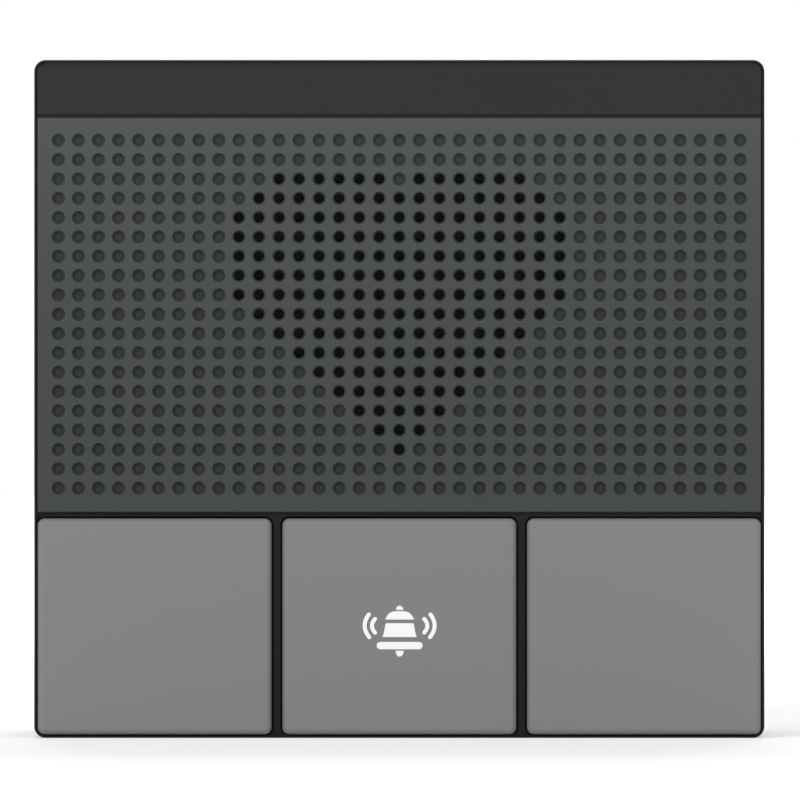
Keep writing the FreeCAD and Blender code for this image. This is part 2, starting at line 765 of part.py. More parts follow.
def add_tongue_and_groove(body):
    parting = size.parting_depth
    outer_x = cavity_x - size.tongue_gap
    outer_z = cavity_z - size.tongue_gap
    add_slab(body, "tongue", parting, parting + size.tongue_height,
             box(-outer_x, outer_x, -outer_z, outer_z), box(-hollow_x, hollow_x, -hollow_z, hollow_z))
    outer = size.gasket_inset - size.gasket_width / 2 - size.groove_play
    inner = size.gasket_inset + size.gasket_width / 2 + size.groove_play
    cut_slab(body, "gasket_groove", parting, parting - size.gasket_depth, *frame_outline(outer, inner))


def frame_outline(outer, inner):
    # A narrow band that follows the outline of the rear cover, between two insets from it.
    outlines = []
    for inset in (outer, inner):
        across = cover_x - inset
        up = cover_z - inset
        outlines.append(box(-across, across, -up, up))
    return outlines


def add_case_bosses(body):
    head_room = size.case_head_radius + size.screw_pass
    boss = size.cover_boss_radius
    boss_front = case_boss_back - size.boss_gap
    for index, (x, z) in enumerate(CASE_SCREWS, 1):
        body_rod(body, "case_boss_%d" % index, "Additive", x, z, cover_back, boss_front, boss)
    for index, (x, z) in enumerate(CASE_SCREWS, 1):
        body_rod(body, "head_well_%d" % index, "Subtractive", x, z,
                 size.wall_gap, size.case_head_seat, head_room)
        body_rod(body, "case_hole_%d" % index, "Subtractive", x, z,
                 size.case_head_seat, boss_front, size.case_screw_radius + size.screw_pass)


def add_standoffs(body):
    for index, (x, z) in enumerate(BOARD_SCREWS, 1):
        body_rod(body, "standoff_%d" % index, "Additive", x, z,
                 cover_floor, size.board_depth, size.boss_radius)
        body_rod(body, "standoff_hole_%d" % index, "Subtractive", x, z,
                 size.board_depth - size.screw_bite - size.screw_pass, size.board_depth,
                 size.screw_radius + size.screw_play)


def add_screw_reliefs(body):
    wall = size.relief_wall
    across = size.relief_half_width
    up = size.relief_half_height
    for name, side in (("left", -1), ("right", 1)):
        middle = side * size.screw_pitch / 2
        body_box(body, "relief_hood_" + name, "Additive", middle - across - wall, middle + across + wall,
                 -up - wall, up + wall, cover_back, size.relief_depth + wall)
    for name, side in (("left", -1), ("right", 1)):
        middle = side * size.screw_pitch / 2
        body_box(body, "relief_" + name, "Subtractive", middle - across, middle + across,
                 -up, up, cover_back, size.relief_depth)


def add_hook_pockets(body):
    wall = size.relief_wall
    play = size.catch_play
    across = size.catch_width / 2 + play
    bottom = catch_z - size.lift
    slot_top = catch_z + size.bracket_thickness + play
    pocket_top = slot_top + size.catch_lip + play
    pocket_front = cover_floor + 2 * play + size.bracket_thickness
    for name, side in (("left", -1), ("right", 1)):
        middle = side * size.catch_offset
        body_box(body, "hook_hood_" + name, "Additive", middle - across - wall, middle + across + wall,
                 bottom - wall, pocket_top + wall, cover_back, pocket_front + wall)
        body_box(body, "hook_pocket_" + name, "Subtractive", middle - across, middle + across,
                 bottom, pocket_top, cover_floor, pocket_front)
        body_box(body, "hook_slot_" + name, "Subtractive", middle - across, middle + across,
                 bottom, slot_top, cover_back, cover_floor)


def add_lock_pocket(body):
    wall = size.relief_wall
    play = size.bracket_play
    across = size.tab_width / 2 + play
    bottom = -bracket_z - size.lift
    top = -bracket_z + size.bracket_thickness + play
    front = size.tab_reach + play
    body_box(body, "lock_hood", "Additive", -across - wall, across + wall, -hollow_z, top + wall,
             cover_back, front + wall)
    body_box(body, "lock_pocket", "Subtractive", -across, across, bottom, top, size.wall_gap, front)
    body_upright(body, "lock_hole", "Subtractive", size.lock_depth, -cover_z, bottom,
                 size.lock_screw_radius + size.screw_pass)
    body_upright(body, "lock_well", "Subtractive", size.lock_depth, -cover_z,
                 -cover_z + size.lock_head_height + play, size.lock_head_radius + size.screw_pass)


def add_connector_bay(body):
    wall = size.bay_wall
    across = size.bay_half_width
    up = size.bay_half_height
    floor_front = size.bay_depth + wall
    body_box(body, "bay_block", "Additive", -across - wall, across + wall, -up - wall, up + wall,
             cover_back, floor_front)
    cut_slab(body, "bay", size.bay_depth, cover_back, box(-across, across, -up, up))
    play = size.bay_play
    jack = size.jack_half_width + play
    body_box(body, "jack_hole", "Subtractive", -jack, jack, size.jack_bottom - play,
             size.jack_bottom + size.jack_height + play, size.bay_depth, floor_front)
    reach = terminal_reach() + play
    body_box(body, "terminal_hole", "Subtractive", -reach, reach,
             size.terminal_top - size.terminal_height - play, size.terminal_top + play,
             size.bay_depth, floor_front)


def terminal_reach():
    return size.terminal_ways * size.terminal_pitch / 2 + size.terminal_cheek


def housing_gasket():
    body = new_body("housing_gasket")
    outer = size.gasket_inset - size.gasket_width / 2
    inner = size.gasket_inset + size.gasket_width / 2
    add_slab(body, "ring", size.parting_depth - size.gasket_depth, size.parting_depth,
             *frame_outline(outer, inner))


def bay_seal():
    body = new_body("bay_seal")
    across = size.bay_half_width
    up = size.bay_half_height
    width = size.seal_width
    add_slab(body, "ring", size.bracket_thickness, cover_back,
             box(-across - width, across + width, -up - width, up + width),
             box(-across, across, -up, up))


def front_housing():
    body = new_body("front_housing")
    parting = size.parting_depth
    block_pad = add_slab(body, "block", parting, rim,
                         rounded(-half_width, half_width, -half_height, half_height, size.corner_radius))
    chamfer(body, "rim_edge", block_pad, rim, size.rim_chamfer)
    cut_slab(body, "hollow", key_wall_back, parting, box(-cavity_x, cavity_x, -cavity_z, cavity_z))
    behind_grille = grille_bottom - size.panel_gap
    cut_slab(body, "grille_back", wall_back, key_wall_back,
             box(-cavity_x, cavity_x, behind_grille, cavity_z))
    corner = size.corner_radius - size.lip_width
    cut_slab(body, "front_recess", rim, rib_front,
             rounded(-inside_x, inside_x, -inside_z, inside_z, corner))
    cut_slab(body, "panel_recess", rib_front, seat,
             rounded_top(-inside_x, inside_x, behind_grille, inside_z, corner))
    cut_slab(body, "heart_window", seat, wall_back, heart_outline())
    cut_key_wells(body)
    add_speaker_seat(body)
    add_front_bosses(body)
    body_upright(body, "sound_port", "Subtractive", mic_depth, -half_height, -cavity_z,
                 size.port_radius)


def heart_outline():
    return path(
        (margin, heart_tip),
        (heart_widest, heart_waist),
        (heart_widest, heart_shoulder),
        (heart_lobe, heart_top),
        (heart_cleft, heart_top),
        (heart_cleft, heart_notch),
        (-heart_cleft, heart_notch),
        (-heart_cleft, heart_top),
        (-heart_lobe, heart_top),
        (-heart_widest, heart_shoulder),
        (-heart_widest, heart_waist),
        (-margin, heart_tip),
    )


def key_side_gaps(place):
    # Play left and right of a cap: next to the rim, or next to a rib.
    left = size.key_rim_gap if place < 0 else size.key_rib_gap
    right = size.key_rim_gap if place > 0 else size.key_rib_gap
    return left, right


def cut_key_wells(body):
    for name, place in KEYS:
        middle = place * key_pitch
        left, right = key_side_gaps(place)
        corner = size.key_corner + size.key_rim_gap
        cut_slab(body, "well_" + name, rib_front, ledge,
                 rounded(middle - key_width / 2 - left, middle + key_width / 2 + right,
                         key_bottom - size.key_rim_gap, key_top + size.key_rib_gap, corner))
    for name, place in KEYS:
        middle = place * key_pitch
        cut_slab(body, "window_" + name, ledge, key_wall_back, skirt_outline(middle, -size.window_gap))


def skirt_outline(middle, inward):
    # Outline of a key's skirt, moved inwards by a wall or outwards by a gap.
    inset = size.skirt_inset + inward
    return box(middle - key_width / 2 + inset, middle + key_width / 2 - inset,
               key_bottom + inset, key_top - inset)


def add_speaker_seat(body):
    pilot = size.screw_radius + size.screw_play
    for index, (x, z) in enumerate(SPEAKER_SCREWS, 1):
        body_rod(body, "speaker_boss_%d" % index, "Additive", x, z,
                 flange_back, wall_back, size.boss_radius)
        body_rod(body, "speaker_pilot_%d" % index, "Subtractive", x, z,
                 flange_back, wall_back, pilot)


def add_front_bosses(body):
    for index, (x, z) in enumerate(CASE_SCREWS, 1):
        behind = wall_back if z.number > 0 else key_wall_back
        body_rod(body, "case_boss_%d" % index, "Additive", x, z,
                 case_boss_back, behind, size.case_boss_radius)
        body_rod(body, "case_pilot_%d" % index, "Subtractive", x, z, case_boss_back,
                 case_boss_back + size.case_screw_bite + size.screw_pass,
                 size.case_screw_radius + size.screw_play)
    for index, (x, z) in enumerate(KEY_SCREWS, 1):
        body_rod(body, "key_boss_%d" % index, "Additive", x, z,
                 key_board_front, key_wall_back, size.boss_radius)
        body_rod(body, "key_pilot_%d" % index, "Subtractive", x, z, key_board_front,
                 key_board_front + size.screw_bite + size.screw_pass,
                 size.screw_radius + size.screw_play)


def top_trim():
    body = new_body("top_trim")
    corner = size.corner_radius - size.lip_width - size.panel_gap
    add_slab(body, "plate", seat, rim,
             rounded_top(-panel_x, panel_x, trim_bottom, trim_top, corner))


def speaker_grille():
    plate = doc.addObject("PartDesign::Body", "grille_plate")
    front = seat + size.grille_thickness
    pad = add_slab(plate, "blank", seat, front, box(-panel_x, panel_x, grille_bottom, grille_top))
    chamfer(plate, "front_edge", pad, front, size.grille_chamfer)
    punches = doc.addObject("Part::Compound", "grille_punches")
    punches.Links = [grille_punch(row, column) for row, column in heart_holes()]
    keep(difference("speaker_grille", plate, punches), "speaker_grille")


def heart_holes():
    # Rows from the top, columns from the middle. The cleft leaves out the top row's middle hole.
    for row in range(HEART_TOP, HEART_TIP + 1):
        reach = heart_reach(row)
        for column in range(-reach, reach + 1):
            if row > HEART_TOP or column != 0:
                yield row, column


def grille_punch(row, column):
    radius = size.hole_diameter / 2 * HOLE_SPREAD
    return rod("punch_%d_%d" % (row, column + HEART_REACH), column * pitch_x, first_row - row * pitch_z,
               seat, seat + size.grille_thickness, radius, HOLE_SIDES)


def key_cap(name, place):
    body = new_body("key_" + name)
    middle = place * key_pitch
    plate = add_slab(body, "plate", key_back, key_front,
                     rounded(middle - key_width / 2, middle + key_width / 2, key_bottom, key_top,
                             size.key_corner))
    chamfer(body, "front_edge", plate, key_front, size.key_chamfer)
    add_slab(body, "skirt", skirt_end, key_back,
             skirt_outline(middle, ZERO), skirt_outline(middle, size.skirt_wall))
    body_rod(body, "post", "Additive", middle, key_middle, dome_front, key_back, size.post_radius,
             LARGE_SIDES)
    hook_front = key_wall_back - size.hook_gap
    across = size.hook_width / 2
    upper = key_top - size.skirt_inset
    lower = key_bottom + size.skirt_inset
    hooks = (("top", upper - size.skirt_wall, upper + size.hook_reach),
             ("bottom", lower - size.hook_reach, lower + size.skirt_wall))
    for end, z0, z1 in hooks:
        body_box(body, "hook_" + end, "Additive", middle - across, middle + across, z0, z1,
                 skirt_end, hook_front)
    if place == 0:
        cut_slab(body, "guide_recess", key_back + size.guide_recess, key_back, guide_outline(ZERO),
                 many_sided(ZERO, key_middle, size.post_radius, LARGE_SIDES))


def guide_outline(play):
    across = size.guide_width / 2 - play
    up = size.guide_height / 2 - play
    return box(-across, across, key_middle - up, key_middle + up)


def light_guide():
    body = new_body("light_guide")
    front = key_back + size.guide_recess
    add_slab(body, "plate", front - size.guide_thickness, front, guide_outline(size.guide_play),
             many_sided(ZERO, key_middle, size.post_radius + size.guide_play, LARGE_SIDES))


def switch_plunger(name, place):
    plunger = rod("plunger_" + name, place * key_pitch, key_middle,
                  switch_front - size.plunger_sunk, plunger_front, size.plunger_radius)
    keep(plunger, "plunger_" + name)


def key_switches():
    switches = []
    half = size.switch_side / 2
    for name, place in KEYS:
        middle = place * key_pitch
        case = block("switch_case_" + name, middle - half, middle + half, key_middle - half,
                     key_middle + half, key_board_front, switch_front)
        bore_end = switch_front - size.plunger_sunk - size.key_travel - size.plunger_play
        bore = rod("switch_bore_" + name, middle, key_middle, bore_end, switch_front,
                   size.plunger_radius + size.plunger_play)
        switches.append(difference("switch_" + name, case, bore))
    group("key_switches", switches)


def board_notches(body, name, back, front, play):
    # Room for the case-screw bosses that a board or membrane passes.
    for index, (x, z) in enumerate(CASE_SCREWS[2:], 1):
        reach = size.case_boss_radius + play
        body_box(body, "%s_%d" % (name, index), "Subtractive", x - reach, x + reach,
                 z - reach, z + reach, back, front)


def keypad_membrane():
    body = new_body("keypad_membrane")
    back = key_board_front
    sheet_front = back + size.membrane_sheet
    edge = size.hole_play
    across = key_board_x - edge
    holes = [many_sided(x, z, size.boss_radius + size.hole_play) for x, z in KEY_SCREWS]
    for side in (-1, 1):
        middle = side * size.led_offset
        reach_x = size.led_width / 2 + edge
        reach_z = size.led_height / 2 + edge
        holes.append(box(middle - reach_x, middle + reach_x, key_middle - reach_z, key_middle + reach_z))
    add_slab(body, "sheet", back, sheet_front,
             box(-across, across, key_board_bottom + edge, key_board_top - edge), *holes)
    inside = size.dome_radius - size.dome_side
    for name, place in KEYS:
        body_rod(body, "dome_" + name, "Additive", place * key_pitch, key_middle, back, dome_front,
                 size.dome_radius, LARGE_SIDES)
        body_rod(body, "cavity_" + name, "Subtractive", place * key_pitch, key_middle, back,
                 plunger_front, inside, LARGE_SIDES)
    board_notches(body, "notch", back, sheet_front, 2 * size.hole_play)


def key_board():
    body = new_body("key_board")
    holes = [many_sided(x, z, size.screw_radius + size.screw_pass) for x, z in KEY_SCREWS]
    add_slab(body, "plate", key_board_back, key_board_front,
             box(-key_board_x, key_board_x, key_board_bottom, key_board_top),
             *holes)
    board_notches(body, "notch", key_board_back, key_board_front, size.hole_play)


def key_leds():
    lights = []
    for name, side in (("left", -1), ("right", 1)):
        middle = side * size.led_offset
        lights.append(block("led_" + name, middle - size.led_width / 2, middle + size.led_width / 2,
                            key_middle - size.led_height / 2, key_middle + size.led_height / 2,
                            key_board_front, key_board_front + size.led_stand))
    group("key_leds", lights)


def speaker_rod(name, back, front, radius):
    return rod(name, ZERO, speaker_z, back, front, radius, SPEAKER_SIDES)


def speaker_taper(name, back, back_radius, front, front_radius):
    # A straight taper about the loudspeaker's axis. It is what turned square tapers have in
    # common, so all of its sides are flat.
    half_back = back_radius / SPEAKER_SPREAD
    half_front = front_radius / SPEAKER_SPREAD
    squares = []
    for index in range(SPEAKER_SIDES // SQUARE_SIDES):
        square = doc.addObject("Part::Wedge", "%s_%d" % (name, index))
        turn = FreeCAD.Rotation(FreeCAD.Vector(0, 1, 0), 360.0 * index / SPEAKER_SIDES)
        square.Placement = FreeCAD.Placement(FreeCAD.Vector(), turn)
        bind(square, Ymin=-front, Ymax=-back, Xmin=-half_front, Xmax=half_front,
             Zmin=-half_front, Zmax=half_front, X2min=-half_back, X2max=half_back,
             Z2min=-half_back, Z2max=half_back, Placement_Base_z=speaker_z)
        squares.append(square)
    taper = doc.addObject("Part::MultiCommon", name)
    taper.Shapes = squares
    return taper


def speaker():
    mesh_corner = (window_radius + size.mesh_lap) * SPEAKER_SPREAD
    keep(speaker_rod("mesh_disc", foam_front, wall_back, mesh_corner), "acoustic_mesh")
    foam = speaker_rod("foam_disc", flange_front, foam_front, speaker_radius)
    inside = speaker_rod("foam_inside", flange_front, foam_front, speaker_radius - size.foam_width)
    keep(difference("foam_ring", foam, inside), "speaker_gasket")
    speaker_basket()
    speaker_cone()
    keep(speaker_rod("magnet_disc", magnet_back, magnet_front, size.magnet_radius), "speaker_magnet")


def speaker_basket():
    # A flange and a sloping cup of sheet steel, with windows in the slope.
    wall = size.basket_wall
    foot = size.magnet_radius + size.magnet_ledge
    inner = speaker_radius - size.flange_width
    flange = speaker_rod("basket_flange", flange_back, flange_front, speaker_radius)
    cup = speaker_taper("basket_cup", magnet_front, foot + wall, flange_back, inner + wall)
    hollow = speaker_taper("basket_hollow", magnet_front + wall, foot, flange_front, inner)
    half = size.basket_window / 2
    across = block("basket_windows_across", -speaker_radius, speaker_radius, speaker_z - half,
                   speaker_z + half, magnet_front + 2 * wall, flange_back - wall)
    upright = block("basket_windows_upright", -half, half, speaker_z - speaker_radius,
                    speaker_z + speaker_radius, magnet_front + 2 * wall, flange_back - wall)
    pressed = difference("basket_pressed", joined("basket_blank", flange, cup), hollow)
    keep(difference("basket", pressed, joined("basket_windows", across, upright)), "speaker_basket")


def speaker_cone():
    # Paper glued by its edge to the face of the flange, with a dust cap in the middle.
    paper = size.paper
    edge = speaker_radius - size.cone_inset
    fold = speaker_radius - size.flange_width - size.cone_play
    cap = size.cap_radius
    back = magnet_front + size.basket_wall + 2 * size.cone_play
    rim_disc = speaker_rod("cone_rim", flange_front, flange_front + paper, edge)
    outside = speaker_taper("cone_outside", back, cap, flange_front, fold)
    inside = speaker_taper("cone_inside", back + paper, cap - paper, flange_front + paper, fold)
    dome = speaker_taper("dust_cap", back + paper, cap - paper, back + size.cap_height, cap / 2)
    shell = difference("cone_shell", joined("cone_blank", rim_disc, outside), inside)
    keep(joined("cone", shell, dome), "speaker_cone")


def speaker_fixings():
    washers = []
    screws = []
    washer_back = flange_back - size.washer_thickness
    for index, (x, z) in enumerate(SPEAKER_SCREWS, 1):
        disc = rod("washer_disc_%d" % index, x, z, washer_back, flange_back, size.washer_radius)
        hole = rod("washer_hole_%d" % index, x, z, washer_back, flange_back,
                   size.screw_radius + size.screw_pass)
        washers.append(difference("washer_%d" % index, disc, hole))
        screws.append(screw("speaker_screw_%d" % index, x, z, washer_back - size.screw_head_height,
                            washer_back, wall_back - size.screw_pass, size.screw_radius,
                            size.screw_head_radius))
    group("speaker_washers", washers)
    group("speaker_screws", screws)


def key_board_screws():
    screws = []
    for index, (x, z) in enumerate(KEY_SCREWS, 1):
        screws.append(screw("key_board_screw_%d" % index, x, z, key_board_back - size.screw_head_height,
                            key_board_back, key_board_front + size.screw_bite,
                            size.screw_radius, size.screw_head_radius))
    group("key_board_screws", screws)


def board_screws():
    screws = []
    for index, (x, z) in enumerate(BOARD_SCREWS, 1):
        screws.append(screw("board_screw_%d" % index, x, z, board_front,
                            board_front + size.screw_head_height, size.board_depth - size.screw_bite,
                            size.screw_radius, size.screw_head_radius, towards_front=False))
    group("board_screws", screws)


def case_screws():
    screws = []
    for index, (x, z) in enumerate(CASE_SCREWS, 1):
        screws.append(screw("case_screw_%d" % index, x, z, size.case_head_seat - size.case_head_height,
                            size.case_head_seat, case_boss_back + size.case_screw_bite,
                            size.case_screw_radius, size.case_head_radius))
    group("case_screws", screws)


def lock_screw():
    body = new_body("lock_screw")
    bottom = -cover_z + size.bracket_play
    neck = bottom + size.lock_head_height
    body_upright(body, "head", "Additive", size.lock_depth, bottom, neck, size.lock_head_radius)
    body_upright(body, "shank", "Additive", size.lock_depth, bottom,
                 -bracket_z + size.bracket_thickness + size.screw_pass, size.lock_screw_radius)


def microphone():
    floor = -cavity_z
    sole = floor + size.boot_sole
    top = sole + size.mic_height
    boot = new_body("mic_boot")
    depth = mic_depth
    body_upright(boot, "block", "Additive", depth, floor, floor + size.boot_height, size.boot_radius)
    body_upright(boot, "bed", "Subtractive", depth, sole, top, size.mic_radius + size.boot_play)
    body_upright(boot, "port", "Subtractive", depth, floor, sole, size.port_radius)
    capsule = new_body("microphone")
    body_upright(capsule, "can", "Additive", depth, sole, top, size.mic_radius)


def main_board():
    body = new_body("main_board")
    holes = [many_sided(x, z, size.screw_radius + size.screw_pass) for x, z in BOARD_SCREWS]
    add_slab(body, "plate", size.board_depth, board_front,
             box(-board_x, board_x, board_bottom, board_top), *holes)


def board_piece(name, in_front):
    # A block on one side of the main board.
    x, z, width, height, stand = [getattr(size, "%s_%s" % (name, kind)) for kind in PIECE_SIZES]
    back = board_front if in_front else size.board_depth - stand
    front = back + stand
    return block(name, x - width / 2, x + width / 2, z - height / 2, z + height / 2, back, front)


def components():
    chips = [board_piece(name, True) for name in ("processor", "memory", "codec")]
    chips.append(board_piece("transformer", False))
    group("main_chips", chips)
    for name in ("shield_can", "speaker_plug"):
        keep(board_piece(name, True), name)
    header_z = key_middle + size.header_rise
    header = block("board_header", -size.header_width / 2, size.header_width / 2,
                   header_z - size.header_height / 2, header_z + size.header_height / 2,
                   board_front, key_board_back)
    keep(header, "board_header")
    keep(board_piece("door_relay", False), "door_relay")
    cans = []
    for name, side in (("lower", -1), ("upper", 1)):
        cans.append(rod("capacitor_" + name, size.capacitor_x,
                        size.capacitor_z + side * size.capacitor_height / 2,
                        size.board_depth - size.capacitor_stand, size.board_depth,
                        size.capacitor_width / 2, LARGE_SIDES))
    group("capacitors", cans)


def network_jack():
    body = new_body("network_jack")
    wide = size.jack_half_width
    back = size.board_depth - size.jack_length
    add_slab(body, "case", back, size.board_depth,
             box(-wide, wide, size.jack_bottom, size.jack_bottom + size.jack_height))
    plug = size.plug_half_width
    latch = size.latch_half_width
    sill = size.jack_bottom + size.plug_sill
    step = sill - size.latch_height
    cut_slab(body, "opening", back + size.plug_depth, back, path(
        (-latch, step),
        (latch, step),
        (latch, sill),
        (plug, sill),
        (plug, sill + size.plug_height),
        (-plug, sill + size.plug_height),
        (-plug, sill),
        (-latch, sill),
    ))


def terminal_block():
    body = new_body("terminal_block")
    reach = terminal_reach()
    back = size.board_depth - size.terminal_length
    add_slab(body, "case", back, size.board_depth,
             box(-reach, reach, size.terminal_top - size.terminal_height, size.terminal_top))
    middle = size.terminal_top - size.terminal_height / 2
    first = (1 - size.terminal_ways) * size.terminal_pitch / 2
    half = size.wire_hole / 2
    entry = cut_slab(body, "entry", back + size.wire_depth, back,
                     box(first - half, first + half, middle - half, middle + half))
    pattern = body.newObject("PartDesign::LinearPattern", "terminal_block_entries")
    pattern.Originals = [entry]
    pattern.Direction = (entry.Profile[0], ["H_Axis"])
    bind(pattern, Length=(size.terminal_ways - 1) * size.terminal_pitch)
    pattern.Occurrences = int(size.terminal_ways.number)
    body.Tip = pattern


def build():
    wall_bracket()
    rear_cover()
    housing_gasket()
    bay_seal()
    front_housing()
    top_trim()
    speaker_grille()
    speaker()
    speaker_fixings()
    for name, place in KEYS:
        key_cap(name, place)
        switch_plunger(name, place)
    light_guide()
    keypad_membrane()
    key_switches()
    key_board()
    key_leds()
    key_board_screws()
    microphone()
    main_board()
    components()
    network_jack()
    terminal_block()
    board_screws()
    case_screws()
    lock_screw()


def check_states():
    for thing in doc.Objects:
        if "Invalid" in thing.State or "Error" in thing.State:
            raise RuntimeError("%s failed: %s" % (thing.Label, thing.State))


def write_parts():
    os.makedirs("parts", exist_ok=True)
    for part in PARTS:
        if part.Shape.isNull() or not part.Shape.isValid():
            raise RuntimeError("%s has no valid shape" % part.Label)
    for part in PARTS:
        part.Shape.exportStep("parts/%s.step" % part.Label)
        bounds = part.Shape.BoundBox
        print("%-18s %2d solids %9.2f mm3  x %.2f..%.2f  y %.2f..%.2f  z %.2f..%.2f" % (
            part.Label, len(part.Shape.Solids), part.Shape.Volume, bounds.XMin, bounds.XMax,
            bounds.YMin, bounds.YMax, bounds.ZMin, bounds.ZMax))


build()
doc.recompute()
check_states()
write_parts()
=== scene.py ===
import json
import math

import bmesh
import bpy
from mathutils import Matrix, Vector

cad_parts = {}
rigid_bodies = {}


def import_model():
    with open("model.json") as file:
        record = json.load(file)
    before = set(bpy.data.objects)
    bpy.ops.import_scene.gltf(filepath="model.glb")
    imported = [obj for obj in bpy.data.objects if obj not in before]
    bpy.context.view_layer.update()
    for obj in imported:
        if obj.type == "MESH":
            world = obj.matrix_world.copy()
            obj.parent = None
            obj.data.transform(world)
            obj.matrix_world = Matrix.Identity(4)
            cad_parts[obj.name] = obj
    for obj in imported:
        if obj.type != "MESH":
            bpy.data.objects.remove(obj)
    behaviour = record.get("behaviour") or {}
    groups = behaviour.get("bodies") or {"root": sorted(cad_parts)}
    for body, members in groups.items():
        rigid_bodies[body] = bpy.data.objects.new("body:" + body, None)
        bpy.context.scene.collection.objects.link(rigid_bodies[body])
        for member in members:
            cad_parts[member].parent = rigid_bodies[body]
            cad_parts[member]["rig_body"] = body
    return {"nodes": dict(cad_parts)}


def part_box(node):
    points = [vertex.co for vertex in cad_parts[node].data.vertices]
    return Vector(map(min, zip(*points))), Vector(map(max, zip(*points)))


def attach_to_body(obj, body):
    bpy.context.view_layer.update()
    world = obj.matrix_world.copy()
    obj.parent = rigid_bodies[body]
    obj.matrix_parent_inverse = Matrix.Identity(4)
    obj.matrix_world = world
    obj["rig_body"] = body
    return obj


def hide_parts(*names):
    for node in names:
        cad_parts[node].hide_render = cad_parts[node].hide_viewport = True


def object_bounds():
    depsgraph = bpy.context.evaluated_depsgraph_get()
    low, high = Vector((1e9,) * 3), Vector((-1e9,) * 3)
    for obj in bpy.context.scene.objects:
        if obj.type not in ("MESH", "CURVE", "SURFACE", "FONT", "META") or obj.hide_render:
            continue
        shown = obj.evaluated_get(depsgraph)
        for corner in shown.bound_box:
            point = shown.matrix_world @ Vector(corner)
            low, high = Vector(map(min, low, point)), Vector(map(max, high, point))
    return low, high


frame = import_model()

# Wall intercom: a perforated grille with a heart of open holes, a top trim and three push keys.
# Metres, +Z up, the front looks along -Y, and the wall is y = 0.
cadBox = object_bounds()
cadNodes = frame["nodes"]
mm = 0.001
near = 0.01  # millimetres within which two places are one
finishes = {}
print("frame loaded:", len(cadNodes), "nodes")


# Node helpers, for shaders and for geometry

class Wire:
    # an output socket; sums on it add Math nodes
    def __init__(self, graph, socket):
        self.graph = graph
        self.socket = socket

    def maths(self, operation, *others):
        feeds = {i: value for i, value in enumerate((self,) + others)}
        return self.graph.add("ShaderNodeMath", {"operation": operation}, feeds)

    def output(self, name):
        return Wire(self.graph, self.socket.node.outputs[name])

    def __add__(self, other):
        return self.maths("ADD", other)

    __radd__ = __add__

    def __sub__(self, other):
        return self.maths("SUBTRACT", other)

    def __rsub__(self, other):
        return self.graph.add("ShaderNodeMath", {"operation": "SUBTRACT"}, {0: other, 1: self})

    def __mul__(self, other):
        return self.maths("MULTIPLY", other)

    __rmul__ = __mul__

    def __truediv__(self, other):
        return self.maths("DIVIDE", other)


class Graph:
    def __init__(self, tree):
        self.tree = tree

    # any node: its type, its settings, then the values or links of its sockets
    def add(self, kind, settings=None, feeds=None, output=0):
        made = self.tree.nodes.new(kind)
        for name, value in (settings or {}).items():
            setattr(made, name, value)
        for key, value in (feeds or {}).items():
            if isinstance(value, Wire):
                self.tree.links.new(value.socket, made.inputs[key])
            else:
                made.inputs[key].default_value = value
        return Wire(self, made.outputs[output] if made.outputs else None)

    def mixColour(self, share, first, second):
        return self.add("ShaderNodeMix", {"data_type": "RGBA"}, {0: share, 6: first, 7: second}, 2)

    def stretched(self, place, scale):
        return self.add("ShaderNodeMapping", None, {"Vector": place, "Scale": scale})

    def noise(self, place, scale, detail=2.0, roughness=0.5):
        feeds = {"Vector": place, "Scale": scale, "Detail": detail, "Roughness": roughness}
        return self.add("ShaderNodeTexNoise", None, feeds)

    def cells(self, place, scale, feature="F1", output="Distance"):
        return self.add("ShaderNodeTexVoronoi", {"feature": feature},
                        {"Vector": place, "Scale": scale}, output)

    # from one grey to another, each at its (position, level)
    def ramp(self, value, *stops):
        made = self.add("ShaderNodeValToRGB", None, {"Fac": value})
        for element, (position, level) in zip(made.socket.node.color_ramp.elements, stops):
            element.position = position
            element.color = (level, level, level, 1)
        return made

    def bump(self, height, depth, strength):
        return self.add("ShaderNodeBump", None,
                        {"Strength": strength, "Distance": depth, "Height": height})

    # the way from start to end along an axis, brought between low and high
    def along(self, place, axis, start, end, low=0.0, high=1.0):
        value = self.add("ShaderNodeSeparateXYZ", None, {0: place}, axis)
        return self.add("ShaderNodeMapRange", None, {
            "Value": value, "From Min": start, "From Max": end, "To Min": low, "To Max": high})


def linear(value):
    share = value / 255
    return share / 12.92 if share <= 0.04045 else ((share + 0.055) / 1.055) ** 2.4


def tone(red, green, blue):
    return (linear(red), linear(green), linear(blue), 1.0)


def shades(colour, *shares):
    return [tuple(min(1.0, part * share) for part in colour[:3]) + (1.0,) for share in shares]


# a new material's empty tree, and the place on the object that its patterns follow
def newFinish(name):
    material = bpy.data.materials.new(name)
    material.use_nodes = True
    material.node_tree.nodes.clear()
    finishes[name] = material
    graph = Graph(material.node_tree)
    return graph, graph.add("ShaderNodeTexCoord", output="Object")


def surface(graph, feeds):
    shader = graph.add("ShaderNodeBsdfPrincipled", None, feeds)
    graph.add("ShaderNodeOutputMaterial", None, {"Surface": shader})


# Finishes: a kind has one look in common, and each material adds its own to it

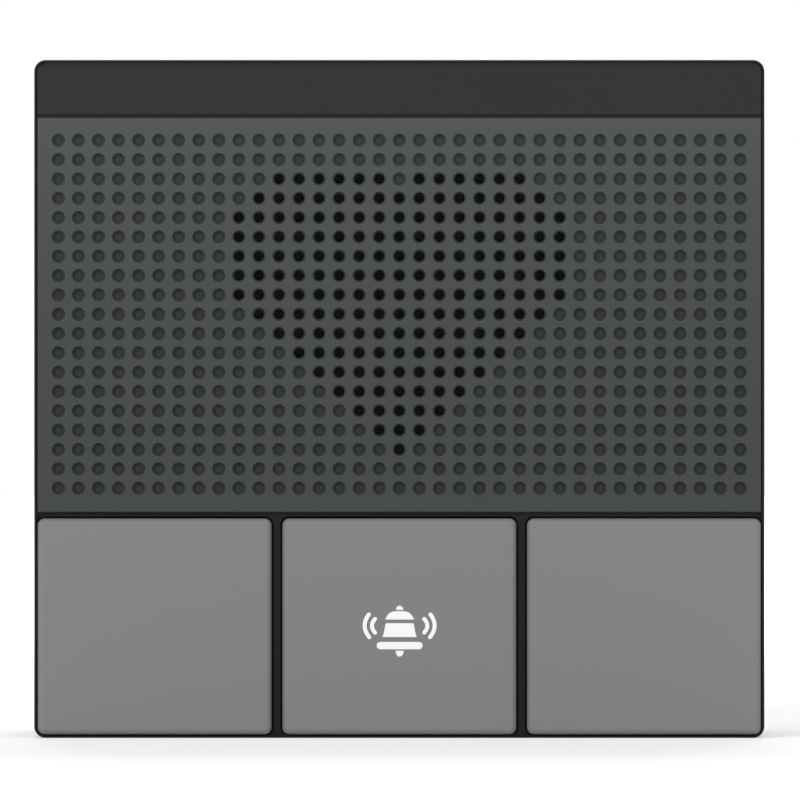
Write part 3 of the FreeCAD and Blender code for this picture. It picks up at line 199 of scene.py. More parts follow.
# cloudiness, grain size in metres and its depth; given a lower colour, it fades downwards to that
# as painted shade, and what lies behind the front face darkens, painted shade in the hollows
plastic = dict(cloudy=0.05, cloudSize=0.004, roughness=0.4, roughSpread=0.1, grainSize=0.00015,
               grainDepth=0.00001, grainStrength=0.4, shine=0.4, pitScale=0.6, pitShare=0.5,
               fadeShare=0.85)
plastics = {
    "housing": dict(colour=tone(23, 23, 24), cloudy=0.1, cloudSize=0.012, roughness=0.42,
                    roughSpread=0.16, grainSize=0.00022, grainDepth=0.00002, grainStrength=0.35,
                    shine=0.15),
    "trim": dict(colour=tone(44, 44, 44), cloudy=0.03, cloudSize=0.02, roughness=0.34,
                 roughSpread=0.06, grainSize=0.00018, grainDepth=0.000008, grainStrength=0.25,
                 shine=0.14),
    # painted shade: the grille darkens downwards, and in its holes and dimples
    "grille": dict(colour=tone(74, 77, 78), fadeColour=tone(60, 63, 65), fade=(-0.0146, 0.0366),
                   fadeBend=2.2, hollow=(-0.03268, -0.0324, 0.44), cloudy=0.06, cloudSize=0.009,
                   roughness=0.52, grainSize=0.0002, grainDepth=0.000012, grainStrength=0.35,
                   shine=0.25),
    # painted shade: the keys fade faintly downwards
    "keys": dict(colour=tone(129, 131, 133), fadeColour=tone(130, 131, 132),
                 fade=(-0.0437, -0.0155), fadeBend=1.0, cloudy=0.03, cloudSize=0.007,
                 roughness=0.5, roughSpread=0.08, grainSize=0.00019, grainStrength=0.3, shine=0.3),
    "componentBlack": dict(colour=tone(28, 28, 30), cloudy=0.08, cloudSize=0.003, roughness=0.55,
                           roughSpread=0.2, grainSize=0.00012, grainStrength=0.6),
    "plungerPlastic": dict(colour=tone(40, 40, 42), cloudSize=0.002, grainSize=0.0001,
                           grainDepth=0.000005),
    "connectorWhite": dict(colour=tone(222, 219, 206), cloudy=0.03, roughness=0.45,
                           grainSize=0.0001, grainDepth=0.000006),
    "networkSocket": dict(colour=tone(30, 30, 32), cloudy=0.06, roughness=0.36, roughSpread=0.12,
                          shine=0.45),
    "terminalPlastic": dict(colour=tone(38, 122, 72), roughSpread=0.12, grainDepth=0.000008,
                            shine=0.45),
}


def mouldedPlastic(name, look):
    graph, place = newFinish(name)
    cloud = graph.noise(place, 1 / look["cloudSize"], 3.0)
    grain = graph.noise(place, 1 / look["grainSize"], 2.0)
    pits = graph.cells(place, look["pitScale"] / look["grainSize"], "SMOOTH_F1")
    dim, bright = shades(look["colour"], 1 - look["cloudy"], 1 + look["cloudy"])
    # painted shade: the colour darkens downwards, as the light from above falls off
    if "fadeColour" in look:
        share = graph.along(place, "Z", *look["fade"]).maths("POWER", look["fadeBend"])
        paintedShade = graph.mixColour(share, look["fadeColour"], look["colour"])
        cloudy = graph.mixColour(cloud, dim, paintedShade)
        colour = graph.mixColour(look["fadeShare"], cloudy, paintedShade)
    else:
        colour = graph.mixColour(cloud, dim, bright)
    # painted shade: the colour darkens behind the front face, in the grille's holes and dimples,
    # where shade falls
    if "hollow" in look:
        level, deep, least = look["hollow"]
        light = graph.along(place, "Y", level, deep, 1.0, least)
        colour = graph.mixColour(light, (0, 0, 0, 1), colour)
    relief = grain + pits * look["pitShare"]
    surface(graph, {
        "Base Color": colour,
        "Roughness": look["roughness"] + (grain - 0.5) * look["roughSpread"],
        "Specular IOR Level": look["shine"],
        "Normal": graph.bump(relief, look["grainDepth"], look["grainStrength"]),
    })


# pore size in metres, the pores' share of the relief and its depth
soft = dict(dim=0.7, bright=1.25, fibreScale=0.5, roughShare=0.1, bump=0.7, shine=0.2)
softs = {
    "silicone": dict(colour=tone(97, 97, 101), poreSize=0.0006, poreShare=0.2, depth=0.00002,
                     roughness=0.5, shine=0.4),
    "sealFoam": dict(colour=tone(38, 38, 38), poreSize=0.0004, poreShare=1.2, depth=0.0002,
                     roughness=0.88),
    "conePaper": dict(colour=tone(48, 47, 46), poreSize=0.0005, poreShare=0.3, depth=0.00008,
                      roughness=0.85),
    "magnet": dict(colour=tone(66, 66, 70), poreSize=0.0003, poreShare=0.6, depth=0.00004,
                   roughness=0.6, shine=0.5),
}


def softFinish(name, look):
    graph, place = newFinish(name)
    pores = graph.cells(place, 1 / look["poreSize"])
    fibres = graph.noise(place, look["fibreScale"] / look["poreSize"], 4.0, 0.6)
    surface(graph, {
        "Base Color": graph.mixColour(pores, *shades(look["colour"], look["dim"], look["bright"])),
        "Roughness": look["roughness"] + fibres * look["roughShare"],
        "Specular IOR Level": look["shine"],
        "Normal": graph.bump(pores * look["poreShare"] + fibres, look["depth"], look["bump"]),
    })


# spangle and streak size in metres, scale of the brushing along x, y and z
metal = dict(metallic=1.0, roughness=0.3, roughSpread=0.15, depth=0.00001, bump=0.5, dim=0.82,
             bright=1.1, stainScale=90.0, shadeShare=0.2, streakShare=0.5, stainShare=0.3,
             shadeRelief=0.1)
metals = {
    "bracketSteel": dict(colour=(0.5, 0.51, 0.525, 1), spangle=0.0022, brushing=(0.08, 1, 1),
                         streak=0.0007, roughness=0.4, roughSpread=0.2),
    "screwSteel": dict(colour=(0.66, 0.66, 0.67, 1), spangle=0.0008, brushing=(1, 1, 0.4),
                       streak=0.0003, roughness=0.32, roughSpread=0.2),
    "basketSteel": dict(colour=(0.05, 0.05, 0.052, 1), spangle=0.002, brushing=(1, 1, 1),
                        streak=0.0008, metallic=0.2, roughness=0.45),
    "capacitorCan": dict(colour=(0.74, 0.75, 0.76, 1), spangle=0.004, brushing=(1, 0.1, 1),
                         streak=0.0004),
    "contactGold": dict(colour=(0.78, 0.57, 0.24, 1), spangle=0.001, brushing=(1, 0.3, 1),
                        streak=0.0003, roughness=0.26, roughSpread=0.12, depth=0.000005),
    "socketShield": dict(colour=(0.7, 0.7, 0.69, 1), spangle=0.003, brushing=(1, 0.2, 1),
                         streak=0.0005),
}


def metalFinish(name, look):
    graph, place = newFinish(name)
    spangle = graph.cells(place, 1 / look["spangle"], output="Color")
    shade = graph.add("ShaderNodeSeparateColor", None, {0: spangle})
    streaks = graph.noise(graph.stretched(place, look["brushing"]), 1 / look["streak"], 3.0)
    stain = graph.noise(place, look["stainScale"], 4.0, 0.65)
    share = (shade * look["shadeShare"] + streaks * look["streakShare"]
             + stain * look["stainShare"])
    relief = streaks + shade * look["shadeRelief"]
    surface(graph, {
        "Base Color": graph.mixColour(share, *shades(look["colour"], look["dim"], look["bright"])),
        "Metallic": look["metallic"],
        "Roughness": look["roughness"] + (share - 0.5) * look["roughSpread"],
        "Normal": graph.bump(relief, look["depth"], look["bump"]),
    })


# milky plastic that a lamp behind it may light; glow is painted light, a glow of its own with no
# lamp behind it
milk = dict(dim=0.97, cloudScale=400.0, grainScale=5000.0, roughShare=0.06, depth=0.000005,
            bump=0.3)
milks = {
    # painted glow: the light guide and the sign shine with no lamp behind them
    "lightGuide": dict(colour=(0.9, 0.91, 0.92, 1), glow=0.05, roughness=0.3),
    "signWhite": dict(colour=(0.93, 0.93, 0.93, 1), glow=0.12, roughness=0.4),
    "ledResin": dict(colour=(0.93, 0.92, 0.84, 1), glow=0.0, roughness=0.2),
}


def milkyPlastic(name, look):
    graph, place = newFinish(name)
    cloud = graph.noise(place, look["cloudScale"], 3.0)
    grain = graph.noise(place, look["grainScale"], 2.0)
    colour = graph.mixColour(cloud, *shades(look["colour"], look["dim"], 1.0))
    surface(graph, {
        "Base Color": colour,
        "Roughness": look["roughness"] + grain * look["roughShare"],
        "Emission Color": colour,
        # painted glow, with no lamp behind it
        "Emission Strength": look["glow"],
        "Normal": graph.bump(grain, look["depth"], look["bump"]),
    })


for make, common, looks in ((mouldedPlastic, plastic, plastics), (softFinish, soft, softs),
                            (metalFinish, metal, metals), (milkyPlastic, milk, milks)):
    for name, look in looks.items():
        make(name, dict(common, **look))

weave = dict(colour=tone(124, 124, 127), pitch=0.0004, gapShade=0.25, gapBend=3.0, roughness=0.8,
             roughShare=0.08, shine=0.25, crossingRelief=0.4, relief=0.2, bump=0.8)


# plain weave of threads along x and z
def wovenMesh(name):
    graph, place = newFinish(name)
    parts = graph.add("ShaderNodeSeparateXYZ", None, {0: place}, "X")
    turn = 2 * math.pi / weave["pitch"]
    warp = (parts * turn).maths("SINE")
    weft = (parts.output("Z") * turn).maths("SINE")
    thread = warp.maths("ABSOLUTE").maths("MAXIMUM", weft.maths("ABSOLUTE"))
    crossing = warp * weft
    relief = thread + crossing * weave["crossingRelief"]
    surface(graph, {
        "Base Color": graph.mixColour(thread.maths("POWER", weave["gapBend"]),
                                      *shades(weave["colour"], weave["gapShade"], 1.0)),
        "Roughness": weave["roughness"] + crossing * weave["roughShare"],
        "Specular IOR Level": weave["shine"],
        "Normal": graph.bump(relief, weave["pitch"] * weave["relief"], weave["bump"]),
    })


wovenMesh("acousticFabric")

board = dict(resist=(tone(14, 74, 38), tone(20, 92, 48)), track=tone(40, 128, 66),
             trackStretch=(1, 0.2, 0.6), trackScale=330.0, trackEdge=(0.03, 0.06),
             cloudScale=140.0, roughness=0.3, roughShare=0.1, depth=0.00003, bump=0.6)


# solder resist over copper: lighter where tracks run
def circuitBoard(name):
    graph, place = newFinish(name)
    tracks = graph.cells(graph.stretched(place, board["trackStretch"]), board["trackScale"],
                         "DISTANCE_TO_EDGE")
    inner, outer = board["trackEdge"]
    copper = graph.ramp(tracks, (inner, 1.0), (outer, 0.0))
    green = graph.mixColour(graph.noise(place, board["cloudScale"], 3.0), *board["resist"])
    surface(graph, {
        "Base Color": graph.mixColour(copper, green, board["track"]),
        "Roughness": board["roughness"] + copper * board["roughShare"],
        "Normal": graph.bump(copper, board["depth"], board["bump"]),
    })


circuitBoard("circuitBoard")
print("finishes made:", len(finishes))


# a slot's finish bears the slot's name, written in camel case
def finishOf(slot):
    first, *others = slot.split("_")
    return first + "".join(word.capitalize() for word in others)


slotOf = {}
for name, node in cadNodes.items():
    slotOf[name] = node.data.materials[0].name.split(".")[0]
    node.data.materials[0] = finishes[finishOf(slotOf[name])]
print("frame dressed")


# Mesh helpers

# distances in metres: welded points, a point on a cut; angles in degrees: between faces of one
# flat, of a sharp edge, of an edge worth rounding
meshing = dict(weld=0.000002, onCut=0.0000001, flat=0.4, sharp=35, bent=25)


def millimetres(point):
    return Vector(point) / mm


# the CAD node's mesh, merged, with each flat face in one piece
def mergedNode(name):
    shape = bmesh.new()
    shape.from_mesh(cadNodes[name].data)
    bmesh.ops.remove_doubles(shape, verts=shape.verts, dist=meshing["weld"])
    bmesh.ops.dissolve_limit(shape, angle_limit=math.radians(meshing["flat"]),
                             verts=shape.verts, edges=shape.edges)
    return shape


def outward(shape):
    bmesh.ops.recalc_face_normals(shape, faces=shape.faces)
    return shape


def circle(radius, sides):
    turns = [2 * math.pi * i / sides for i in range(sides)]
    return [(radius * math.cos(turn), radius * math.sin(turn)) for turn in turns]


# the faces between two rings of as many points
def wall(shape, first, second, smooth=False):
    for i in range(len(first)):
        j = (i + 1) % len(first)
        shape.faces.new((first[i], first[j], second[j], second[i])).smooth = smooth


# a solid on an outline of (x, z) points between two distances from the wall, in millimetres
def extruded(shape, outline, back, front):
    rings = [[shape.verts.new((x * mm, -depth * mm, z * mm)) for x, z in outline]
             for depth in (front, back)]
    shape.faces.new(rings[0])
    shape.faces.new(rings[1][::-1])
    wall(shape, rings[1], rings[0])


def linked(name, data):
    made = bpy.data.objects.new(name, data)
    bpy.context.scene.collection.objects.link(made)
    return made


def meshOf(shape, name):
    mesh = bpy.data.meshes.new(name)
    shape.to_mesh(mesh)
    shape.free()
    return mesh


def pieceFrom(shape, name, finish, sharp=meshing["sharp"]):
    for face in shape.faces:
        face.smooth = True
    mesh = meshOf(shape, name)
    mesh.set_sharp_from_angle(angle=math.radians(sharp))
    mesh.materials.append(finishes[finish])
    return linked(name, mesh)


# swaps the object's mesh for what its modifiers make of it
def settled(made):
    bpy.context.view_layer.update()
    evaluated = made.evaluated_get(bpy.context.evaluated_depsgraph_get())
    mesh = bpy.data.meshes.new_from_object(evaluated)
    mesh.name = made.name
    made.modifiers.clear()
    made.data = mesh
    return made


# flat faces keep their own direction, so that only the rounded edges catch the light
def evenShading(made):
    made.modifiers.new("even shading", "WEIGHTED_NORMAL").keep_sharp = True
    return settled(made)


# an edge passes where both its ends do
def both(test):
    return lambda a, b: test(a) and test(b)


# rounds the bent edges that wanted picks by their ends, or all; sizes in millimetres
def roundEdges(shape, wanted, width, segments):
    shape.normal_update()
    edges = []
    for edge in shape.edges:
        if len(edge.link_faces) == 2 and edge.calc_face_angle(0) > math.radians(meshing["bent"]):
            if wanted is None or wanted(*[millimetres(vert.co) for vert in edge.verts]):
                edges.append(edge)
    bmesh.ops.bevel(shape, geom=edges, offset=width * mm, segments=segments, profile=0.5,
                    affect="EDGES", clamp_overlap=True)


def attach(made, body, slot, *replaced):
    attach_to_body(made, body)
    if replaced:
        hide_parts(*replaced)


# Geometry trees

def newTree(name, inputs):
    tree = bpy.data.node_groups.new(name, "GeometryNodeTree")
    for way in ("INPUT", "OUTPUT"):
        tree.interface.new_socket("Geometry", in_out=way, socket_type="NodeSocketGeometry")
    sockets = {}
    for label, kind in inputs:
        made = tree.interface.new_socket(label, in_out="INPUT", socket_type="NodeSocket" + kind)
        sockets[label] = made.identifier
    graph = Graph(tree)
    return tree, sockets, graph, graph.add("NodeGroupInput").output


# realised, welded, given its finish and handed to the output
def closeTree(graph, geometry, finish, weld=None):
    geometry = graph.add("GeometryNodeRealizeInstances", None, {0: geometry})
    if weld is not None:
        geometry = graph.add("GeometryNodeMergeByDistance", None,
                             {"Geometry": geometry, "Distance": weld})
    geometry = graph.add("GeometryNodeSetMaterial", None, {0: geometry, "Material": finish})
    graph.add("NodeGroupOutput", None, {0: geometry})


def joined(graph, *parts):
    join = graph.add("GeometryNodeJoinGeometry")
    for part in parts:
        graph.tree.links.new(part.socket, join.socket.node.inputs[0])
    return join


# the part on each point of the geometry
def instances(graph, points, part, feeds=None):
    source = graph.add("GeometryNodeObjectInfo", None, {"Object": part}, "Geometry")
    feeds = dict(feeds or {}, Points=points, Instance=source)
    return graph.add("GeometryNodeInstanceOnPoints", None, feeds)


# the object's own points each get the part, turned by chance about an axis
def fastenerTree():
    tree, sockets, graph, take = newTree("fasteners", (
        ("Part", "Object"), ("Axis", "Vector"), ("Most Turn", "Float"), ("Seed", "Int"),
        ("Finish", "Material")))
    turn = graph.add("FunctionNodeRandomValue", {"data_type": "FLOAT"},
                     {2: 0.0, 3: take("Most Turn"), "Seed": take("Seed")}, 1)
    rotation = graph.add("FunctionNodeAxisAngleToRotation", None,
                         {"Axis": take("Axis"), "Angle": turn})
    placed = instances(graph, take("Geometry"), take("Part"), {"Rotation": rotation})
    closeTree(graph, placed, take("Finish"))
    return tree, sockets


# the part repeated in a straight row
def rowTree():
    tree, sockets, graph, take = newTree("row", (
        ("Part", "Object"), ("Count", "Int"), ("Start", "Vector"), ("Step", "Vector"),
        ("Finish", "Material")))
    line = graph.add("GeometryNodeMeshLine", None, {
        "Count": take("Count"), "Start Location": take("Start"), "Offset": take("Step")})
    closeTree(graph, instances(graph, line, take("Part")), take("Finish"))
    return tree, sockets


# runs a tree on an object's mesh, and leaves a plain mesh
def grown(made, tree, sockets, values):
    modifier = made.modifiers.new(tree.name, "NODES")
    modifier.node_group = tree
    for name, value in values.items():
        modifier[sockets[name]] = value
    return settled(made)


# a mesh object with only points, for a tree to put parts on
def pointsPiece(name, points):
    mesh = bpy.data.meshes.new(name)
    mesh.from_pydata([tuple(value * mm for value in point) for point in points], [], [])
    return linked(name, mesh)


# repeats the part by the tree and throws the single part away
def repeated(name, points, part, tree, sockets, values):
    made = grown(pointsPiece(name, points), tree, sockets, dict(values, Part=part))
    bpy.data.objects.remove(part)
    return made


# Perforated grille: a tile for an open hole, a tile for a blind dimple, set out on a grid

grille = dict(
    halfWidth=47.1, top=36.6, bottom=-14.55,
    front=32.7, back=31.2,
    columns=35, rows=19, edgeX=2.76, edgeZ=2.95, tileWeld=0.004,
    holeRadius=0.67, holeSides=20, mouth=0.19, mouthBend=0.29, dimple=0.55,
    edgeRound=0.24, edgeSteps=3, lip=0.22,
    heartTop=2, heartTip=16, heartReach=8, heartShoulder=4,
)
pitchX = 2 * (grille["halfWidth"] - grille["edgeX"]) / (grille["columns"] - 1)
pitchZ = (grille["top"] - grille["bottom"] - 2 * grille["edgeZ"]) / (grille["rows"] - 1)
gridMiddle = (grille["top"] + grille["bottom"]) / 2


# one cell of the grille, its middle at x = z = 0; depths are distances from the wall
def grilleTile(name, isOpen):
    shape = bmesh.new()
    sides, quarter = grille["holeSides"], grille["holeSides"] // 4
    front, back, radius, mouth, dimple = [
        grille[size] * mm for size in ("front", "back", "holeRadius", "mouth", "dimple")]

    def ring(size, depth):
        return [shape.verts.new((x, -depth, z)) for x, z in circle(size, sides)]

    def square(depth):
        return [shape.verts.new((x * pitchX * mm / 2, -depth, z * pitchZ * mm / 2))
                for x, z in ((1, 1), (-1, 1), (-1, -1), (1, -1))]

    # the flat round the hole: a fan to each corner and a triangle to each side
    def flat(hole, corners, turned):
        for q, corner in enumerate(corners):
            for i in range(q * quarter, (q + 1) * quarter):
                a, b = hole[i], hole[(i + 1) % sides]
                shape.faces.new((a, b, corner) if turned else (b, a, corner))
            axis, after = hole[(q + 1) * quarter % sides], corners[(q + 1) % 4]
            shape.faces.new((axis, after, corner) if turned else (axis, corner, after))

    rim = ring(radius + mouth, front)
    flat(rim, square(front), True)
    bend = mouth * grille["mouthBend"]
    lip = ring(radius + bend, front - bend)
    throat = ring(radius, front - mouth)
    wall(shape, rim, lip, True)
    wall(shape, lip, throat, True)
    corners = square(back)
    end = ring(radius, back if isOpen else front - dimple)
    wall(shape, throat, end, True)
    if isOpen:
        flat(end, corners, False)
    else:
        shape.faces.new(end)
        shape.faces.new(corners[::-1])
    return bpy.data.objects.new(name, meshOf(shape, name))


gridCounts = ("columns", "rows", "heartTop", "heartTip", "heartReach", "heartShoulder")


def perforationTree():
    tree, sockets, graph, take = newTree("perforations", (
        *[(name, "Int") for name in gridCounts], ("Pitch X", "Float"), ("Pitch Z", "Float"),
        ("Middle Z", "Float"), ("Open Tile", "Object"), ("Blind Tile", "Object"),
        ("Finish", "Material")))
    columns, rows, top, tip, widest, shoulder = [take(name) for name in gridCounts]
    grid = graph.add("GeometryNodeMeshGrid", None, {
        "Size X": (columns - 1) * take("Pitch X"), "Size Y": (rows - 1) * take("Pitch Z"),
        "Vertices X": columns, "Vertices Y": rows})
    place = graph.add("GeometryNodeInputPosition")
    flat = graph.add("ShaderNodeSeparateXYZ", None, {0: place}, "X")
    # steps from the middle column, and rows from the top; half a step parts two of them
    across = (flat / take("Pitch X")).maths("ROUND").maths("ABSOLUTE")
    down = ((rows - 1) / 2 - flat.output("Y") / take("Pitch Z")).maths("ROUND")
    reach = (tip - down).maths("MINIMUM", down + shoulder).maths("MINIMUM", widest)
    inside = across.maths("LESS_THAN", reach + 0.5)
    below = down.maths("GREATER_THAN", top - 0.5)
    cleft = (down + across).maths("LESS_THAN", top + 0.5)
    isOpen = inside * below * (1 - cleft)
    # the grid lies flat, and stands up in front of the wall
    upright = graph.add("ShaderNodeCombineXYZ", None, {
        "X": flat, "Y": 0.0, "Z": flat.output("Y") + take("Middle Z")})
    points = graph.add("GeometryNodeCaptureAttribute", None, {"Geometry": grid})
    points.socket.node.capture_items.new("FLOAT", "isOpen")
    graph.tree.links.new(isOpen.socket, points.socket.node.inputs["isOpen"])
    kept = points.output("isOpen")
    stood = graph.add("GeometryNodeSetPosition", None,
                      {"Geometry": points, "Position": upright})
    tiles = [instances(graph, stood, take(part), {"Selection": chosen})
             for part, chosen in (("Open Tile", kept), ("Blind Tile", 1 - kept))]
    closeTree(graph, joined(graph, take("Geometry"), *tiles), take("Finish"),
              grille["tileWeld"] * mm)
    return tree, sockets


# the margin round the grid of tiles: rounded front edge, sides and back; its lower edge leans
# out in a small lip over the rib above the keys
def grilleMargin():
    shape = bmesh.new()
    columns, rows, steps = grille["columns"], grille["rows"], grille["edgeSteps"]
    front, back, size = grille["front"], grille["back"], grille["edgeRound"]
    gridX, gridZ = pitchX * columns / 2, pitchZ * rows / 2
    halfX, halfZ = grille["halfWidth"], (grille["top"] - grille["bottom"]) / 2
    # the grid's outline in steps of a tile, round from its top left corner
    marks = []
    for count, x, z, stepX, stepZ in (
            (columns, -gridX, gridZ, pitchX, 0), (rows, gridX, gridZ, 0, -pitchZ),
            (columns, gridX, -gridZ, -pitchX, 0), (rows, -gridX, -gridZ, 0, pitchZ)):
        marks += [(x + i * stepX, z + i * stepZ) for i in range(count)]
    # each ring's distance inside the panel's edge, or None for the grid's outline, and its depth
    loops = [(None, front)]
    for i in range(steps + 1):
        turn = math.pi / 2 * i / steps
        loops.append((size * (1 - math.sin(turn)), front - size * (1 - math.cos(turn))))
    loops += [(0, back), (None, back)]
    rings = []
    for inside, depth in loops:
        ring = []
        for x, z in marks:
            if inside is not None:
                lip = grille["lip"] if z < 0 and depth > back else 0
                x = math.copysign(halfX - inside, x) if abs(abs(x) - gridX) < near else x
                z = math.copysign(halfZ - inside + lip, z) if abs(abs(z) - gridZ) < near else z
            ring.append(shape.verts.new((x * mm, -depth * mm, (z + gridMiddle) * mm)))
        rings.append(ring)
    for i, (first, second) in enumerate(zip(rings, rings[1:])):
        wall(shape, first, second, 0 < i <= steps)
    return linked("grille_panel", meshOf(shape, "grille_panel"))


def makeGrille():
    tree, sockets = perforationTree()
    panel = grilleMargin()
    openTile, blindTile = grilleTile("openTile", True), grilleTile("blindTile", False)
    grown(panel, tree, sockets, {
        **{name: grille[name] for name in gridCounts}, "Pitch X": pitchX * mm,
        "Pitch Z": pitchZ * mm, "Middle Z": gridMiddle * mm, "Open Tile": openTile,
        "Blind Tile": blindTile, "Finish": finishes["grille"]})
    for tile in (openTile, blindTile):
        bpy.data.objects.remove(tile)
    attach(panel, "intercom", "grille", "speaker_grille")
    print("grille panel:", len(panel.data.polygons), "faces")


makeGrille()


# Push keys: the frame's caps, their front edge rolled over in one round

key = dict(plate=32.8, front=33.17, corner=0.9, round=0.84, steps=7)


def makeKey(side):
    name = "key_" + side
    shape = mergedNode(name)
    low, high = [millimetres(corner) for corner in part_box(name)]
    middle, half = (low + high) / 2, (high - low) / 2
    front, corner, size = key["front"], key["corner"], key["round"]
    # the frame's sloping edge goes, and the side wall ends where the round starts
    sloping = [vert for vert in shape.verts if vert.co.y < -(key["plate"] + near) * mm]
    bmesh.ops.delete(shape, geom=sloping, context="VERTS")
    edges = [edge for edge in shape.edges if len(edge.link_faces) == 1]
    for vert in {vert for edge in edges for vert in edge.verts}:
        vert.co.y = -(front - size) * mm
    radius = corner
    for step in range(1, key["steps"] + 1):
        turn = math.pi / 2 * step / key["steps"]
        smaller = corner - size * (1 - math.cos(turn))
        made = bmesh.ops.extrude_edge_only(shape, edges=edges)["geom"]
        for vert in [part for part in made if isinstance(part, bmesh.types.BMVert)]:
            for axis in (0, 2):
                out = vert.co[axis] / mm - middle[axis]
                centre = math.copysign(half[axis] - corner, out)
                out = centre + (out - centre) * smaller / radius
                vert.co[axis] = (middle[axis] + out) * mm
            vert.co.y = -(front - size * (1 - math.sin(turn))) * mm
        edges = [part for part in made if isinstance(part, bmesh.types.BMEdge)]
        radius = smaller
    bmesh.ops.holes_fill(shape, edges=edges, sides=0)
    cap = evenShading(pieceFrom(outward(shape), side + "_key_cap", "keys"))
    attach(cap, side + "_key", "keys", name)


for side in ("left", "call", "right"):
    makeKey(side)
print("keys made")


# Bell sign let into the call key: measured from its middle, in millimetres

bell = dict(
    middle=(0.04, -29.88), front=33.195, back=33.1, stroke=0.52,
    knob=(0.49, 2.46, 3.0), clapper=(0.53, -2.86, -3.63),
    dome=((-1.87, 1.2), (-1.78, 1.42), (-1.6, 1.72), (-1.38, 1.98), (-1.12, 2.16), (-0.8, 2.25),
          (-0.4, 2.29)),
    body=((-2.22, -1.08), (-2.2, -1.0), (-2.06, -0.55), (-1.93, 0.05), (-1.86, 0.55),
          (-1.8, 0.68), (-1.7, 0.72)),
    bar=(3.0, -1.71, -2.67),
    waves=((3.2, 1.28, 3.6, 3.2, -0.5), (4.0, 1.86, 4.55, 3.94, -1.1)),
    ovalSteps=8, barSteps=6, waveSteps=10, endSteps=6, sharp=20,
)


def mirrored(half):
    return list(half) + [(-x, z) for x, z in reversed(half)]


# half an oval whose flat side is at start
def halfOval(reach, start, end):
    turns = [math.pi * i / bell["ovalSteps"] for i in range(bell["ovalSteps"] + 1)]
    return [(reach * math.cos(turn), start + (end - start) * math.sin(turn)) for turn in turns]


# a bar with rounded ends
def roundBar(reach, top, bottom):
    radius, middle, steps = (top - bottom) / 2, (top + bottom) / 2, bell["barSteps"]
    outline = []
    for side in (1, -1):
        for i in range(steps + 1):
            turn = math.pi * (i / steps - 0.5)
            x = side * (reach - radius + radius * math.cos(turn))
            outline.append((x, middle + side * radius * math.sin(turn)))
    return outline


# a stroke of even width with round ends along an arc through three points
def wave(x0, z0, bulge, x1, z1, side):
    start, middle, end = Vector((x0, z0)), Vector((bulge, (z0 + z1) / 2)), Vector((x1, z1))
    bend = middle * 2 - (start + end) / 2
    steps, half = bell["waveSteps"], bell["stroke"] / 2
    shares = [i / steps for i in range(steps + 1)]
    line = [start * (1 - t) ** 2 + bend * 2 * t * (1 - t) + end * t ** 2 for t in shares]
    left, right = [], []
    for i, point in enumerate(line):
        along = (line[min(i + 1, steps)] - line[max(i - 1, 0)]).normalized()
        across = Vector((-along.y, along.x)) * half
        left.append(point + across)
        right.append(point - across)
    ends = []
    for point, before in ((line[-1], line[-2]), (line[0], line[1])):
        along = (point - before).normalized()
        across = Vector((-along.y, along.x))
        turns = [math.pi * i / bell["endSteps"] for i in range(1, bell["endSteps"])]
        ends.append([point + (across * math.cos(a) + along * math.sin(a)) * half for a in turns])
    outline = left + ends[0] + right[::-1] + ends[1]
    return [(side * point.x, point.y) for point in outline]


def makeBell():
    shape = bmesh.new()
    outlines = [halfOval(*bell["knob"]), halfOval(*bell["clapper"]), mirrored(bell["dome"]),
                mirrored(bell["body"]), roundBar(*bell["bar"])]
    outlines += [wave(*stroke, side) for stroke in bell["waves"] for side in (1, -1)]
    middleX, middleZ = bell["middle"]
    for outline in outlines:
        placed = [(x + middleX, z + middleZ) for x, z in outline]
        extruded(shape, placed, bell["back"], bell["front"])
    sign = pieceFrom(outward(shape), "bell_sign", "signWhite", bell["sharp"])
    attach(sign, "call_key", "light_guide")
    print("bell sign made")


makeBell()


# Case: the frame's mouldings with rounded outer edges

case = dict(
    halfWidth=47.5, halfHeight=44.1, corner=1.5, rim=32.6, rimRound=0.28,
    chamfer=0.25, chamferDeep=0.1, rimSide=0.8, skin=0.1,
    parting=12.0, partingRound=0.25, ribFront=31.9, ribRound=0.22, ribLong=5,
    coverHalfWidth=47.0, coverHalfHeight=43.6, coverCorner=1.0, coverBack=0.4,
    coverRound=0.5, coverEdge=1.3,
    trimRound=0.1, trimTop=43.7, trimBottom=36.95, stepDeep=0.3, stepSlope=0.01,
    topStep=0.42, bottomStep=0.3, topGap=0.09,
)


# how far inside the case's outline a point lies, seen from the front
def inset(point, halfWidth, halfHeight, corner):
    x = abs(point.x) - halfWidth + corner
    z = abs(point.z) - halfHeight + corner
    if x > 0 and z > 0:
        return corner - math.hypot(x, z)
    return corner - max(x, z)


def caseInset(point):
    return inset(point, case["halfWidth"], case["halfHeight"], case["corner"])


def roundedPiece(node, name, rounds, shaped=None):
    shape = mergedNode(node)
    if shaped:
        shaped(shape)
    for wanted, width, segments in rounds:
        roundEdges(shape, wanted, width, segments)
    slot = slotOf[node]
    piece = evenShading(pieceFrom(shape, name, finishOf(slot)))
    attach(piece, cadNodes[node]["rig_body"], slot, node)


# the band's face is set back in a narrow step along its top and its bottom edge
def steppedTrim(shape):
    top, bottom, slope = case["trimTop"], case["trimBottom"], case["stepSlope"]
    for vert in shape.verts:
        if vert.co.z < (bottom + near) * mm:
            vert.co.z -= case["bottomStep"] * mm
        elif vert.co.z > (top - near) * mm:
            vert.co.z += case["topGap"] * mm
    for level, sign in ((top - case["topStep"], 1), (bottom, -1)):
        for cut in (level, level + slope * sign):
            everything = shape.verts[:] + shape.edges[:] + shape.faces[:]
            bmesh.ops.bisect_plane(shape, geom=everything, dist=meshing["onCut"],
                                   plane_co=(0, 0, cut * mm), plane_no=(0, 0, 1))
        for vert in shape.verts:
            beyond = (vert.co.z / mm - level) * sign > slope / 2
            if beyond and vert.co.y < (near - case["rim"]) * mm:
                vert.co.y += case["stepDeep"] * mm


